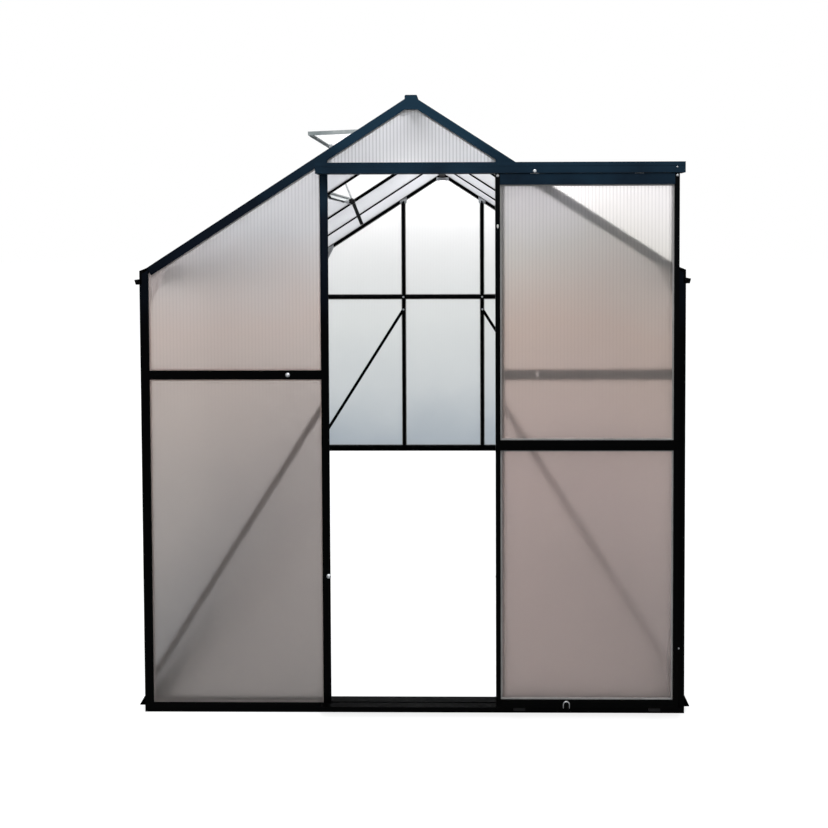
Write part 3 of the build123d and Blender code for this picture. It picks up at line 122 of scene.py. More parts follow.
# Node graph helpers
def new_material(name):
    material = bpy.data.materials.new(name)
    material.use_nodes = True
    shader = material.node_tree.nodes["Principled BSDF"]
    return material, shader


def add_node(material, kind, **values):
    node = material.node_tree.nodes.new(kind)
    for name, value in values.items():
        node.inputs[name.replace("_", " ")].default_value = value
    return node


def link(material, output, target):
    material.node_tree.links.new(output, target)


def object_noise(material, scale, detail=3.0, roughness=0.55, stretch=(1, 1, 1)):
    """Noise in the object's own space, stretched along its axes."""
    place = material.node_tree.nodes.new("ShaderNodeTexCoord")
    mapping = material.node_tree.nodes.new("ShaderNodeMapping")
    mapping.inputs["Scale"].default_value = stretch
    noise = add_node(material, "ShaderNodeTexNoise", Scale=scale, Detail=detail, Roughness=roughness)
    link(material, place.outputs["Object"], mapping.inputs["Vector"])
    link(material, mapping.outputs["Vector"], noise.inputs["Vector"])
    return noise.outputs["Fac"]


def colour_ramp(material, factor, stops):
    """Map a factor to colours at (position, colour) stops."""
    ramp = material.node_tree.nodes.new("ShaderNodeValToRGB")
    elements = ramp.color_ramp.elements
    while len(elements) < len(stops):
        elements.new(0.5)
    for element, (position, colour) in zip(elements, stops):
        element.position = position
        element.color = (*colour, 1)
    link(material, factor, ramp.inputs["Fac"])
    return ramp.outputs["Color"]


def value_range(material, factor, low, high, from_low=0.0, from_high=1.0):
    node = add_node(
        material, "ShaderNodeMapRange", From_Min=from_low, From_Max=from_high, To_Min=low, To_Max=high
    )
    link(material, factor, node.inputs["Value"])
    return node.outputs["Result"]


def add_bump(material, shader, height, strength, distance):
    bump = add_node(material, "ShaderNodeBump", Strength=strength, Distance=distance)
    link(material, height, bump.inputs["Height"])
    link(material, bump.outputs["Normal"], shader.inputs["Normal"])


def object_height(material, low, high):
    """Height in the object's own space, from 0 at one level to 1 at another."""
    place = material.node_tree.nodes.new("ShaderNodeTexCoord")
    split = material.node_tree.nodes.new("ShaderNodeSeparateXYZ")
    link(material, place.outputs["Object"], split.inputs["Vector"])
    return value_range(material, split.outputs["Z"], 0.0, 1.0, from_low=low, from_high=high)


def mixed_factor(material, first, second, share):
    """One factor plus a share of another."""
    blend = add_node(material, "ShaderNodeMath")
    blend.operation = "MULTIPLY_ADD"
    link(material, second, blend.inputs[0])
    blend.inputs[1].default_value = share
    link(material, first, blend.inputs[2])
    return blend.outputs[0]


# Materials
ROUGHNESS_SPREAD = 0.06
HAZE_SPREAD = 0.07
FLUTES_FULL = 2.0


def powder_coat(name, stops):
    """Fine-textured powder coat with faint cloudy wear and painted sky light: its colour, given by the height
    above the ground, grows lighter towards the top.
    """
    material, shader = new_material(name)
    cloud = object_noise(material, scale=7.0)
    # Painted light: the height lightens the colour towards the top, standing in for sky light on the upper bars;
    # the cloud adds wear
    sky_sheen_and_wear = mixed_factor(material, object_height(material, low=0.9, high=2.2), cloud, share=0.25)
    link(material, colour_ramp(material, sky_sheen_and_wear, stops), shader.inputs["Base Color"])
    grain = object_noise(material, scale=900.0, detail=2.0)
    link(material, value_range(material, cloud, low=0.36, high=0.5), shader.inputs["Roughness"])
    shader.inputs["Specular IOR Level"].default_value = 0.03
    add_bump(material, shader, grain, strength=0.12, distance=0.0004)
    return material


def bare_aluminium(name):
    """Mill-finish aluminium with drawing lines along the rails and dull weathered clouds."""
    material, shader = new_material(name)
    cloud = object_noise(material, scale=9.0)
    lines = object_noise(material, scale=220.0, detail=2.0, stretch=(0.03, 1.0, 1.0))
    stops = [(0.3, (0.20, 0.23, 0.235)), (0.75, (0.40, 0.43, 0.43))]
    link(material, colour_ramp(material, cloud, stops), shader.inputs["Base Color"])
    link(material, value_range(material, lines, low=0.36, high=0.52), shader.inputs["Roughness"])
    shader.inputs["Metallic"].default_value = 0.75
    add_bump(material, shader, lines, strength=0.08, distance=0.0003)
    return material


def let_light_through(material, shader, tint):
    """Shadow rays pass a thin clear sheet, so that light reaches what is behind it."""
    tree = material.node_tree
    path = tree.nodes.new("ShaderNodeLightPath")
    clear = tree.nodes.new("ShaderNodeBsdfTransparent")
    clear.inputs["Color"].default_value = (*tint, 1)
    choice = tree.nodes.new("ShaderNodeMixShader")
    link(material, path.outputs["Is Shadow Ray"], choice.inputs["Fac"])
    link(material, shader.outputs["BSDF"], choice.inputs[1])
    link(material, clear.outputs["BSDF"], choice.inputs[2])
    link(material, choice.outputs["Shader"], tree.nodes["Material Output"].inputs["Surface"])


def shaded_flutes(material, colour, shade, foot):
    """Painted shade of the webs: darken a sheet's colour along them, more with height and not at all low down,
    where the sheet is darker.
    """
    place = material.node_tree.nodes.new("ShaderNodeAttribute")
    place.attribute_name = FLUTE_ATTRIBUTE
    turn = add_node(material, "ShaderNodeMath")
    turn.operation = "MULTIPLY"
    turn.inputs[1].default_value = 2 * pi
    wave = add_node(material, "ShaderNodeMath")
    wave.operation = "COSINE"
    strength = add_node(material, "ShaderNodeMath")
    strength.operation = "MULTIPLY"
    link(material, place.outputs["Fac"], turn.inputs[0])
    link(material, turn.outputs[0], wave.inputs[0])
    link(material, value_range(material, wave.outputs[0], low=0.0, high=1.0), strength.inputs[0])
    link(material, object_height(material, foot, FLUTES_FULL), strength.inputs[1])
    mix = material.node_tree.nodes.new("ShaderNodeMixRGB")
    mix.blend_type = "MULTIPLY"
    mix.inputs["Color2"].default_value = (shade, shade, shade, 1)
    link(material, strength.outputs[0], mix.inputs["Fac"])
    link(material, colour, mix.inputs["Color1"])
    return mix.outputs["Color"]


def twin_wall(name, stops, haze, shade, foot):
    """Hazy sheet that blurs what is behind it, with faint streaks, and more dust and painted shade towards the
    ground.
    """
    material, shader = new_material(name)
    streak = object_noise(material, scale=30.0, stretch=(3.0, 3.0, 0.06))
    cloud = object_noise(material, scale=2.2)
    # Dust together with painted shade: the colour darkens towards the ground
    dirt_and_painted_shade = mixed_factor(material, object_height(material, low=0.0, high=2.1), cloud, share=0.16)
    colour = shaded_flutes(material, colour_ramp(material, dirt_and_painted_shade, stops), shade, foot)
    link(material, colour, shader.inputs["Base Color"])
    roughness = value_range(material, streak, low=haze, high=haze + HAZE_SPREAD)
    link(material, roughness, shader.inputs["Roughness"])
    shader.inputs["Transmission Weight"].default_value = 0.94
    shader.inputs["IOR"].default_value = 1.45
    add_bump(material, shader, streak, strength=0.1, distance=0.0006)
    let_light_through(material, shader, tint=(0.86, 0.86, 0.87))
    return material


def web_material(name):
    """The webs inside a sheet: milky and partly clear, and hardly seen where the sheet is dirty, low down."""
    material, shader = new_material(name)
    streak = object_noise(material, scale=60.0, stretch=(1.0, 1.0, 0.1))
    stops = [(0.3, (0.72, 0.72, 0.73)), (0.7, (0.88, 0.88, 0.89))]
    link(material, colour_ramp(material, streak, stops), shader.inputs["Base Color"])
    link(material, value_range(material, streak, low=0.3, high=0.45), shader.inputs["Roughness"])
    clean = mixed_factor(material, object_height(material, low=1.1, high=2.2), streak, share=0.2)
    link(material, value_range(material, clean, low=0.04, high=0.4), shader.inputs["Alpha"])
    return material


def zinc(name):
    """Zinc plating with a faint spangle."""
    material, shader = new_material(name)
    spangle = object_noise(material, scale=160.0, detail=1.0)
    stops = [(0.3, (0.42, 0.44, 0.46)), (0.7, (0.66, 0.68, 0.70))]
    link(material, colour_ramp(material, spangle, stops), shader.inputs["Base Color"])
    link(material, value_range(material, spangle, low=0.28, high=0.46), shader.inputs["Roughness"])
    shader.inputs["Metallic"].default_value = 0.9
    add_bump(material, shader, spangle, strength=0.06, distance=0.0003)
    return material


def moulded(name, dark, light, roughness):
    """Moulded plastic or rubber with a fine grain."""
    material, shader = new_material(name)
    cloud = object_noise(material, scale=25.0)
    grain = object_noise(material, scale=1400.0, detail=1.0)
    link(material, colour_ramp(material, cloud, [(0.35, dark), (0.7, light)]), shader.inputs["Base Color"])
    low = roughness - ROUGHNESS_SPREAD
    high = roughness + ROUGHNESS_SPREAD
    link(material, value_range(material, cloud, low, high), shader.inputs["Roughness"])
    shader.inputs["Specular IOR Level"].default_value = 0.2
    add_bump(material, shader, grain, strength=0.1, distance=0.0003)
    return material


# Colours by height: black low down, with painted sky light that lightens the bars towards the top; on the sheets,
# dust together with painted shade, both thinning out towards the roof
BLACK = (0.0008, 0.0009, 0.001)
# The other bars: near black, with a faint painted sky light towards the top
PAINT = powder_coat("powder_coat", [(0.4, BLACK), (1.0, (0.0018, 0.0024, 0.003))])
# Painted sky reflection on the bars that face the front: lighter and bluer towards the top
SKY_SHEEN_STOPS = [(0.45, BLACK), (0.78, (0.006, 0.010, 0.018)), (1.0, (0.014, 0.038, 0.064))]
SKY_SHEEN_PAINT = powder_coat("powder_coat_painted_sky_sheen", SKY_SHEEN_STOPS)
ALUMINIUM = bare_aluminium("bare_aluminium")
# Sheet colours by height: dust together with painted shade, darker and warmer towards the ground
DUST_AND_PAINTED_SHADE = [
    (0.1, (0.62, 0.575, 0.55)),
    (0.4, (0.75, 0.67, 0.635)),
    (0.72, (0.91, 0.77, 0.715)),
    (0.9, (0.91, 0.9, 0.905)),
]
# The door sheet: dust with painted shade lower down, and painted light at the top, where it turns lighter again
DOOR_DUST_AND_PAINTED_LIGHT = [
    (0.1, (0.98, 0.88, 0.85)),
    (0.5, (0.98, 0.87, 0.845)),
    (0.72, (0.88, 0.8, 0.75)),
    (0.86, (0.87, 0.845, 0.805)),
    (0.95, (0.97, 0.94, 0.94)),
]
# Clean sheets with painted shade: darker and bluer towards the ground
CLEAN_WITH_PAINTED_SHADE = [
    (0.12, (0.52, 0.58, 0.63)),
    (0.32, (0.76, 0.8, 0.815)),
    (0.55, (0.88, 0.91, 0.905)),
    (0.95, (1.0, 1.0, 1.0)),
]
SHADED = [(0.1, (0.6, 0.61, 0.64)), (0.95, (0.66, 0.67, 0.7))]
GABLE = [(0.1, (0.76, 0.76, 0.77)), (0.95, (0.82, 0.82, 0.83))]
FRONT_SHEET = twin_wall("front_sheet", DUST_AND_PAINTED_SHADE, haze=0.42, shade=0.75, foot=1.0)
DOOR_SHEET = twin_wall("door_sheet", DOOR_DUST_AND_PAINTED_LIGHT, haze=0.42, shade=0.75, foot=1.0)
CLEAN_SHEET = twin_wall("clean_sheet", CLEAN_WITH_PAINTED_SHADE, haze=0.36, shade=0.88, foot=0.0)
ROOF_SHEET = twin_wall("roof_sheet", SHADED, haze=0.4, shade=0.86, foot=0.0)
GABLE_SHEET = twin_wall("gable_sheet", GABLE, haze=0.5, shade=0.6, foot=1.0)
WEB = web_material("twin_wall_web")
ZINC = zinc("zinc_plate")
PLASTIC = moulded("black_plastic", (0.003, 0.003, 0.0035), (0.007, 0.007, 0.0075), roughness=0.45)
NYLON = moulded("white_nylon", (0.66, 0.66, 0.63), (0.78, 0.78, 0.75), roughness=0.4)
SEAL = moulded("grey_seal", (0.36, 0.35, 0.34), (0.46, 0.45, 0.44), roughness=0.6)


def finish_for(node):
    if node in ZINC_NODES:
        return ZINC
    if node in PLASTIC_NODES:
        return PLASTIC
    if node in NYLON_NODES:
        return NYLON
    if node in BARE_NODES:
        return ALUMINIUM
    if node in SKY_SHEEN_NODES:
        return SKY_SHEEN_PAINT
    return PAINT


def sheet_for(node):
    if node == "front_gable_panel":
        return GABLE_SHEET
    if node.startswith("front"):
        return FRONT_SHEET
    if node.startswith("door"):
        return DOOR_SHEET
    if "roof" in node:
        return ROOF_SHEET
    return CLEAN_SHEET


for node_name, node_object in frame["nodes"].items():
    node_object.data.materials.clear()
    node_object.data.materials.append(finish_for(node_name))


# Mesh helpers
def shade_smooth(piece):
    for polygon in piece.data.polygons:
        polygon.use_smooth = True


def add_piece(name, mesh_data, material, body):
    """Turn a bmesh into a piece that rides on a body."""
    mesh = bpy.data.meshes.new(name)
    mesh_data.to_mesh(mesh)
    mesh_data.free()
    piece = bpy.data.objects.new(name, mesh)
    bpy.context.scene.collection.objects.link(piece)
    mesh.materials.append(material)
    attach(piece, body)
    return piece


def solids_of(node):
    """The corner points of each separate solid in a node."""
    work = bmesh.new()
    work.from_mesh(frame["nodes"][node].data)
    bmesh.ops.remove_doubles(work, verts=work.verts, dist=MERGE_DISTANCE)
    left = set(work.verts)
    groups = []
    for start in work.verts:
        if start not in left:
            continue
        left.remove(start)
        stack = [start]
        group = []
        while stack:
            corner = stack.pop()
            group.append(corner.co.copy())
            for edge in corner.link_edges:
                other = edge.other_vert(corner)
                if other in left:
                    left.remove(other)
                    stack.append(other)
        groups.append(group)
    work.free()
    return groups


def sheet_axes(corners):
    """Across, along and out directions of a flat sheet, and its two faces along the last one."""
    first = corners[0]
    best = None
    for second in corners:
        for third in corners:
            normal = (second - first).cross(third - first)
            if normal.length < SMALLEST_AREA:
                continue
            normal.normalize()
            depths = [corner.dot(normal) for corner in corners]
            thickness = max(depths) - min(depths)
            if best is None or thickness < best[0]:
                best = (thickness, normal)
    out = best[1]
    across = UP.cross(out).normalized()
    along = out.cross(across)
    depths = [corner.dot(out) for corner in corners]
    return across, along, out, min(depths), max(depths)


def hull_chains(points):
    """Lower and upper chains of a convex outline, both from left to right."""
    ordered = sorted(set((round(a, OUTLINE_DIGITS), round(b, OUTLINE_DIGITS)) for a, b in points))
    chains = []
    for sign in (1, -1):
        chain = []
        for point in ordered:
            while len(chain) > 1:
                (ax, ay), (bx, by) = chain[-2:]
                turn = (bx - ax) * (point[1] - ay) - (by - ay) * (point[0] - ax)
                if sign * turn > 0:
                    break
                chain.pop()
            chain.append(point)
        chains.append(chain)
    return chains


def closed_loop(lower, upper):
    """One outline from its two chains."""
    return lower + [point for point in reversed(upper) if point not in lower]


def height_on(chain, position):
    """Height of a chain at a position across it."""
    for (ax, ay), (bx, by) in zip(chain, chain[1:]):
        if ax <= position <= bx and bx > ax:
            return ay + (by - ay) * (position - ax) / (bx - ax)
    return chain[-1][1]


# Twin-wall sheets: a closed slab with upright webs inside
SKIN_SLOT = 0
WEB_SLOT = 1


def add_sheet(work, corners):
    """A slab with its webs, and the count of webs from the left kept at each of the slab's corners."""
    across, along, out, near, far = sheet_axes(corners)
    points = [(corner.dot(across), corner.dot(along)) for corner in corners]
    lower, upper = hull_chains(points)
    loop = closed_loop(lower, upper)
    left = min(point[0] for point in points)
    right = max(point[0] for point in points)
    count = round((right - left) / FLUTE_PITCH)
    flute = work.verts.layers.float.get(FLUTE_ATTRIBUTE) or work.verts.layers.float.new(FLUTE_ATTRIBUTE)
    rings = []
    for depth in (near, far):
        ring = []
        for a, b in loop:
            ring.append(work.verts.new(across * a + along * b + out * depth))
            ring[-1][flute] = count * (a - left) / (right - left)
        rings.append(ring)
    faces = [work.faces.new(reversed(rings[0])), work.faces.new(rings[1])]
    for index in range(len(loop)):
        after = (index + 1) % len(loop)
        faces.append(work.faces.new((rings[0][index], rings[0][after], rings[1][after], rings[1][index])))
    for face in faces:
        face.material_index = SKIN_SLOT
    for step in range(1, count):
        position = left + (right - left) * step / count
        foot = height_on(lower, position) + WEB_GAP
        top = height_on(upper, position) - WEB_GAP
        places = [
            (foot, near + WEB_GAP),
            (top, near + WEB_GAP),
            (top, far - WEB_GAP),
            (foot, far - WEB_GAP),
        ]
        sides = []
        for offset in (-WEB_THICKNESS / 2, WEB_THICKNESS / 2):
            middle = across * (position + offset)
            sides.append([work.verts.new(middle + along * height + out * depth) for height, depth in places])
        webs = [work.faces.new(sides[0]), work.faces.new(reversed(sides[1]))]
        for index in range(len(places)):
            after = (index + 1) % len(places)
            quad = (sides[0][after], sides[0][index], sides[1][index], sides[1][after])
            webs.append(work.faces.new(quad))
        for web in webs:
            web.material_index = WEB_SLOT


# Seals: a narrow frame against one face of a sheet, just clear of the bars
def inset_outline(points, distance):
    """A convex outline moved inwards by a distance."""
    middle = Vector((sum(p[0] for p in points), sum(p[1] for p in points))) / len(points)
    lines = []
    for (ax, ay), (bx, by) in zip(points, points[1:] + points[:1]):
        normal = Vector((by - ay, ax - bx)).normalized()
        if normal.dot(middle - Vector((ax, ay))) < 0:
            normal.negate()
        lines.append((normal, normal.dot(Vector((ax, ay))) + distance))
    result = []
    for (n, a), (m, b) in zip(lines[-1:] + lines[:-1], lines):
        scale = n.x * m.y - n.y * m.x
        result.append(((a * m.y - b * n.y) / scale, (b * n.x - a * m.x) / scale))
    return result


def add_seal(work, corners, inset, inside):
    """A seal on the face of a sheet that looks towards a point."""
    across, along, out, near, far = sheet_axes(corners)
    face = far
    step = SEAL_GAP
    if (inside - corners[0]).dot(out) < 0:
        face = near
        step = -SEAL_GAP
    thickness = SEAL_THICKNESS * step / SEAL_GAP
    lower, upper = hull_chains([(corner.dot(across), corner.dot(along)) for corner in corners])
    loop = closed_loop(lower, upper)
    rings = []
    for distance, depth in ((inset, 0), (inset, 1), (inset + SEAL_WIDTH, 1), (inset + SEAL_WIDTH, 0)):
        level = face + step + depth * thickness
        outline = inset_outline(loop, distance)
        rings.append([work.verts.new(across * a + along * b + out * level) for a, b in outline])
    for ring, following in zip(rings, rings[1:] + rings[:1]):
        for index in range(len(ring)):
            after = (index + 1) % len(ring)
            work.faces.new((ring[index], ring[after], following[after], following[index]))


DOOR_INSET = 0.0082
BAR_INSET = 0.0102
HOUSE_MIDDLE = (CAD_BOX[0] + CAD_BOX[1]) / 2
BODY_OF = {
    node: body for body, nodes in frame["record"]["behaviour"]["bodies"].items() for node in nodes
}
for node_name in PANEL_NODES:
    body_name = BODY_OF[node_name]
    sheet_mesh = bmesh.new()
    seal_mesh = bmesh.new()
    for sheet_corners in solids_of(node_name):
        add_sheet(sheet_mesh, sheet_corners)
        if body_name == "door":
            outside = HOUSE_MIDDLE - Vector((0, 2 * CAD_BOX[1].y, 0))
            add_seal(seal_mesh, sheet_corners, DOOR_INSET, outside)
        elif body_name == "frame":
            add_seal(seal_mesh, sheet_corners, BAR_INSET, HOUSE_MIDDLE)
    sheet_name = f"{node_name}_twin_wall"
    sheet_piece = add_piece(sheet_name, sheet_mesh, sheet_for(node_name), body_name)
    sheet_piece.data.materials.append(WEB)
    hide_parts(node_name)
    if seal_mesh.verts:
        bmesh.ops.recalc_face_normals(seal_mesh, faces=seal_mesh.faces)
        add_piece(f"{node_name}_seals", seal_mesh, SEAL, body_name)
    else:
        seal_mesh.free()


# Round parts
def close_rings(work, rings):
    """Faces between rings of corners, and over the first and the last ring."""
    for ring, following in zip(rings, rings[1:]):
        for step in range(len(ring)):
            after = (step + 1) % len(ring)
            work.faces.new((ring[step], ring[after], following[after], following[step]))
    work.faces.new(reversed(rings[0]))
    work.faces.new(rings[-1])


def add_lathe(work, profile, origin, axis, steps=ROUND_STEPS):
    """A profile of (radius, height) points turned about an axis."""
    side = axis.orthogonal().normalized()
    other = axis.cross(side)
    rings = []
    for radius, height in profile:
        centre = origin + axis * height
        ring = []
        for step in range(steps):
            turn = 2 * pi * step / steps
            ring.append(work.verts.new(centre + (side * cos(turn) + other * sin(turn)) * radius))
        rings.append(ring)
    close_rings(work, rings)


# A dome-headed bolt on a washer, with a socket in its head, as shares of its radius and its rise
BOLT_SHARES = [
    (1.45, 0.0),
    (1.45, 0.19),
    (1.02, 0.22),
    (1.0, 0.47),
    (0.82, 0.84),
    (0.5, 1.0),
    (0.42, 0.97),
    (0.4, 0.47),
]


def add_bolts(name, places, body, radius=BOLT_RADIUS, rise=BOLT_RISE):
    """One piece of equal bolts, each at a place and along an axis."""
    profile = [(radius * out, rise * up) for out, up in BOLT_SHARES]
    work = bmesh.new()
    for origin, axis in places:
        add_lathe(work, profile, origin, axis)
    shade_smooth(add_piece(name, work, ZINC, body))


TO_FRONT = Vector((0, -1, 0))
TO_BACK = Vector((0, 1, 0))
TRACK_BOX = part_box("door_track")
TRACK_FACE = TRACK_BOX[0].y
FRONT_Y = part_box("front_sill")[0].y
DOOR_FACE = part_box("door_left_stile")[0].y
RAIL_Z = (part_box("front_rails")[0].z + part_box("front_rails")[1].z) / 2

# Bolts and screws on the faces of the front gable, the door and its tracks
RAIL_BOLT_X = 0.435
JAMB_BOLT_X = 0.2965
JAMB_BOLT_Z = 0.485
front_places = []
for side in (-1, 1):
    front_places.append((Vector((side * RAIL_BOLT_X, FRONT_Y, RAIL_Z)), TO_FRONT))
    front_places.append((Vector((side * JAMB_BOLT_X, FRONT_Y, JAMB_BOLT_Z)), TO_FRONT))
add_bolts("front_bolts", front_places, "frame")

CORNER_SCREW_X = 0.930
CORNER_SCREW_Z = 0.231
corner_place = Vector((CORNER_SCREW_X, FRONT_Y, CORNER_SCREW_Z))
add_bolts("corner_screw", [(corner_place, TO_FRONT)], "frame", SMALL_RADIUS, SCREW_RISE)

STILE_MIDDLE = (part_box("door_left_stile")[0].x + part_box("door_left_stile")[1].x) / 2
RIGHT_STILE_MIDDLE = (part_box("door_right_stile")[0].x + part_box("door_right_stile")[1].x) / 2
DOOR_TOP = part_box("door_top_rail")[1].z
SCREW_FROM_END = 0.007
door_places = []
for stile_x in (STILE_MIDDLE, RIGHT_STILE_MIDDLE):
    door_places.append((Vector((stile_x, DOOR_FACE, DOOR_TOP - SCREW_FROM_END)), TO_FRONT))
add_bolts("door_screws", door_places, "door", SCREW_RADIUS, SCREW_RISE)

TRACK_BOLT_X = 0.423
TRACK_SCREW_X = 0.905
TRACK_BOLT_UP = 0.006
TRACK_BOLT_Z = TRACK_BOX[0].z + TRACK_BOLT_UP
TRACK_SCREW_Z = (TRACK_BOX[0].z + TRACK_BOX[1].z) / 2
track_place = Vector((TRACK_BOLT_X, TRACK_FACE, TRACK_BOLT_Z))
add_bolts("track_bolt", [(track_place, TO_FRONT)], "frame", TRACK_BOLT_RADIUS, FLAT_RISE)
screw_place = Vector((TRACK_SCREW_X, TRACK_FACE, TRACK_SCREW_Z))
add_bolts("track_screw", [(screw_place, TO_FRONT)], "frame", SMALL_RADIUS, FLAT_RISE)

LOWER_SCREW_X = 0.303
LOWER_SCREW_Z = 0.012
lower_face = min(corner.y for corner in solids_of("bottom_track")[0] if corner.z < LOWER_SCREW_Z)
lower_place = Vector((LOWER_SCREW_X, lower_face, LOWER_SCREW_Z))
add_bolts("lower_track_screw", [(lower_place, TO_FRONT)], "frame", SMALL_RADIUS, SCREW_RISE)


# Buffer on the door's edge and the arched clip on its bottom rail
def add_wire(work, path, normal, radius, steps=ROUND_STEPS // 2):
    """A round wire along a flat path, with closed ends."""
    rings = []
    for index, centre in enumerate(path):
        before = path[max(index - 1, 0)]
        after = path[min(index + 1, len(path) - 1)]
        side = (after - before).normalized().cross(normal)
        ring = []
        for step in range(steps):
            turn = 2 * pi * step / steps
            ring.append(work.verts.new(centre + (side * cos(turn) + normal * sin(turn)) * radius))
        rings.append(ring)
    close_rings(work, rings)
    bmesh.ops.recalc_face_normals(work, faces=work.faces)


BUFFER_Z = 1.711
BUFFER_RADIUS = 0.0035
BUFFER_STRETCH = 2.0
BUFFER_PROFILE = [(1.0, 0.0), (1.0, 0.0018), (0.88, 0.0027), (0.55, 0.0033)]
buffer_mesh = bmesh.new()
buffer_profile = [(share * BUFFER_RADIUS, height) for share, height in BUFFER_PROFILE]
add_lathe(buffer_mesh, buffer_profile, Vector(), TO_FRONT)
bmesh.ops.scale(buffer_mesh, verts=buffer_mesh.verts, vec=(1, 1, BUFFER_STRETCH))
bmesh.ops.translate(buffer_mesh, verts=buffer_mesh.verts, vec=(STILE_MIDDLE, DOOR_FACE, BUFFER_Z))
add_piece("door_buffer", buffer_mesh, NYLON, "door")

CLIP_X = 0.531
CLIP_HALF = 0.0105
CLIP_WIRE = 0.0016
CLIP_STEPS = 16
BOTTOM_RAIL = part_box("door_bottom_rail")
clip_foot = Vector((CLIP_X, DOOR_FACE - CLIP_WIRE, BOTTOM_RAIL[0].z + CLIP_WIRE))
clip_spring = clip_foot + UP * (BOTTOM_RAIL[1].z - BOTTOM_RAIL[0].z - 2 * CLIP_WIRE - CLIP_HALF)
clip_path = [clip_foot + Vector((CLIP_HALF, 0, 0))]
for step in range(CLIP_STEPS + 1):
    turn = pi * step / CLIP_STEPS
    clip_path.append(clip_spring + Vector((cos(turn), 0, sin(turn))) * CLIP_HALF)
clip_path.append(clip_foot - Vector((CLIP_HALF, 0, 0)))
clip_mesh = bmesh.new()
add_wire(clip_mesh, clip_path, TO_FRONT, CLIP_WIRE)
shade_smooth(add_piece("door_clip", clip_mesh, ZINC, "door"))


# Bolts on the plates and at the ends of the braces, on the side that looks into the house
def inner_face(corners):
    """Corners of a flat piece on its side towards the middle of the house, and that direction."""
    toward = TO_BACK if corners[0].y < HOUSE_MIDDLE.y else TO_FRONT
    depth = max(corner.dot(toward) for corner in corners)
    return [corner for corner in corners if depth - corner.dot(toward) < FACE_TOLERANCE], toward


def bolt_order(corner, centre):
    """Far corners come first and then low ones, alike on both sides of the house."""
    away = (corner - centre).length
    return -round(away, LEVEL_DIGITS), round(corner.z, LEVEL_DIGITS), round(abs(corner.x), LEVEL_DIGITS)


PLATE_BOLT_SHARE = 0.62
PLATE_BOLT_GAP = 0.026
plate_places = []
for node_name in ("front_plates", "back_plates"):
    for plate_corners in solids_of(node_name):
        face, toward = inner_face(plate_corners)
        centre = sum(face, Vector()) / len(face)
        chosen = []
        for corner in sorted(face, key=lambda point: bolt_order(point, centre)):
            place = centre.lerp(corner, PLATE_BOLT_SHARE)
            if all((place - other).length > PLATE_BOLT_GAP for other in chosen):
                chosen.append(place)
        plate_places += [(place, toward) for place in chosen]
add_bolts("plate_bolts", plate_places, "frame")

BRACE_BOLT_INSET = 0.016
brace_places = []
for brace_corners in solids_of("braces"):
    face, toward = inner_face(brace_corners)
    ordered = sorted(face, key=lambda point: point.z)
    half = len(ordered) // 2
    foot = sum(ordered[:half], Vector()) / half
    head = sum(ordered[-half:], Vector()) / half
    run = (head - foot).normalized() * BRACE_BOLT_INSET
    brace_places += [(foot + run, toward), (head - run, toward)]
add_bolts("brace_bolts", brace_places, "frame")

back_posts = [inner_face(corners) for corners in solids_of("back_posts")]
post_places = []
for face, toward in back_posts:
    middle_x = sum(corner.x for corner in face) / len(face)
    post_places.append((Vector((middle_x, face[0].y, RAIL_Z)), toward))
add_bolts("back_post_bolts", post_places, "frame")


# Grip of the stay rod: a collar and a ribbed sleeve with rounded ends
# Collar and tip: shares of the radius, and metres past the end that they round
COLLAR_START = [(0.7, 0.0), (0.95, 0.0004), (1.0, 0.0012)]
COLLAR_FINISH = [(1.0, -0.001), (0.94, 0.0)]
GRIP_TIP = [(0.97, -0.004), (0.85, -0.0015), (0.5, 0.0)]
# A rib: where its groove and its crest begin and end, as shares of its length
RIB_GROOVE = (0.08, 0.32)
RIB_CREST = (0.46, 0.94)
RIBBED_SHARE = 0.92
joint_places = {joint["name"]: Vector(joint["pos_m"]) for joint in frame["joints"] if "pos_m" in joint}
STAY_EYE = joint_places["stay_swing"]
STAY_AXIS = (joint_places["stay_swivel_turn"] - STAY_EYE).normalized()
grip_corners = [corner - STAY_EYE for corner in solids_of("stay_grip")[0]]
grip_start = min(corner.dot(STAY_AXIS) for corner in grip_corners)
grip_end = max(corner.dot(STAY_AXIS) for corner in grip_corners)
grip_radii = {}
for corner in grip_corners:
    level = round(corner.dot(STAY_AXIS), LEVEL_DIGITS)
    radius = (corner - STAY_AXIS * corner.dot(STAY_AXIS)).length
    grip_radii[level] = max(radius, grip_radii.get(level, 0))
collar_radius = max(grip_radii.values())
sleeve_radius = grip_radii[max(grip_radii)]
collar_end = max(level for level, radius in grip_radii.items() if radius > sleeve_radius + STEP_TOLERANCE)
grip_profile = [(collar_radius * share, grip_start + past) for share, past in COLLAR_START]
grip_profile += [(collar_radius * share, collar_end + past) for share, past in COLLAR_FINISH]
rib_length = (grip_end - collar_end) * RIBBED_SHARE / GRIP_RIBS
for rib in range(GRIP_RIBS):
    rib_start = collar_end + rib_length * rib
    grip_profile += [(sleeve_radius - GRIP_RIB_DEPTH, rib_start + rib_length * share) for share in RIB_GROOVE]
    grip_profile += [(sleeve_radius, rib_start + rib_length * share) for share in RIB_CREST]
grip_profile += [(sleeve_radius * share, grip_end + past) for share, past in GRIP_TIP]
grip_mesh = bmesh.new()
add_lathe(grip_mesh, grip_profile, STAY_EYE, STAY_AXIS, 2 * ROUND_STEPS)
bmesh.ops.recalc_face_normals(grip_mesh, faces=grip_mesh.faces)
grip = add_piece("stay_grip_sleeve", grip_mesh, PLASTIC, "stay")
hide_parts("stay_grip")
shade_smooth(grip)


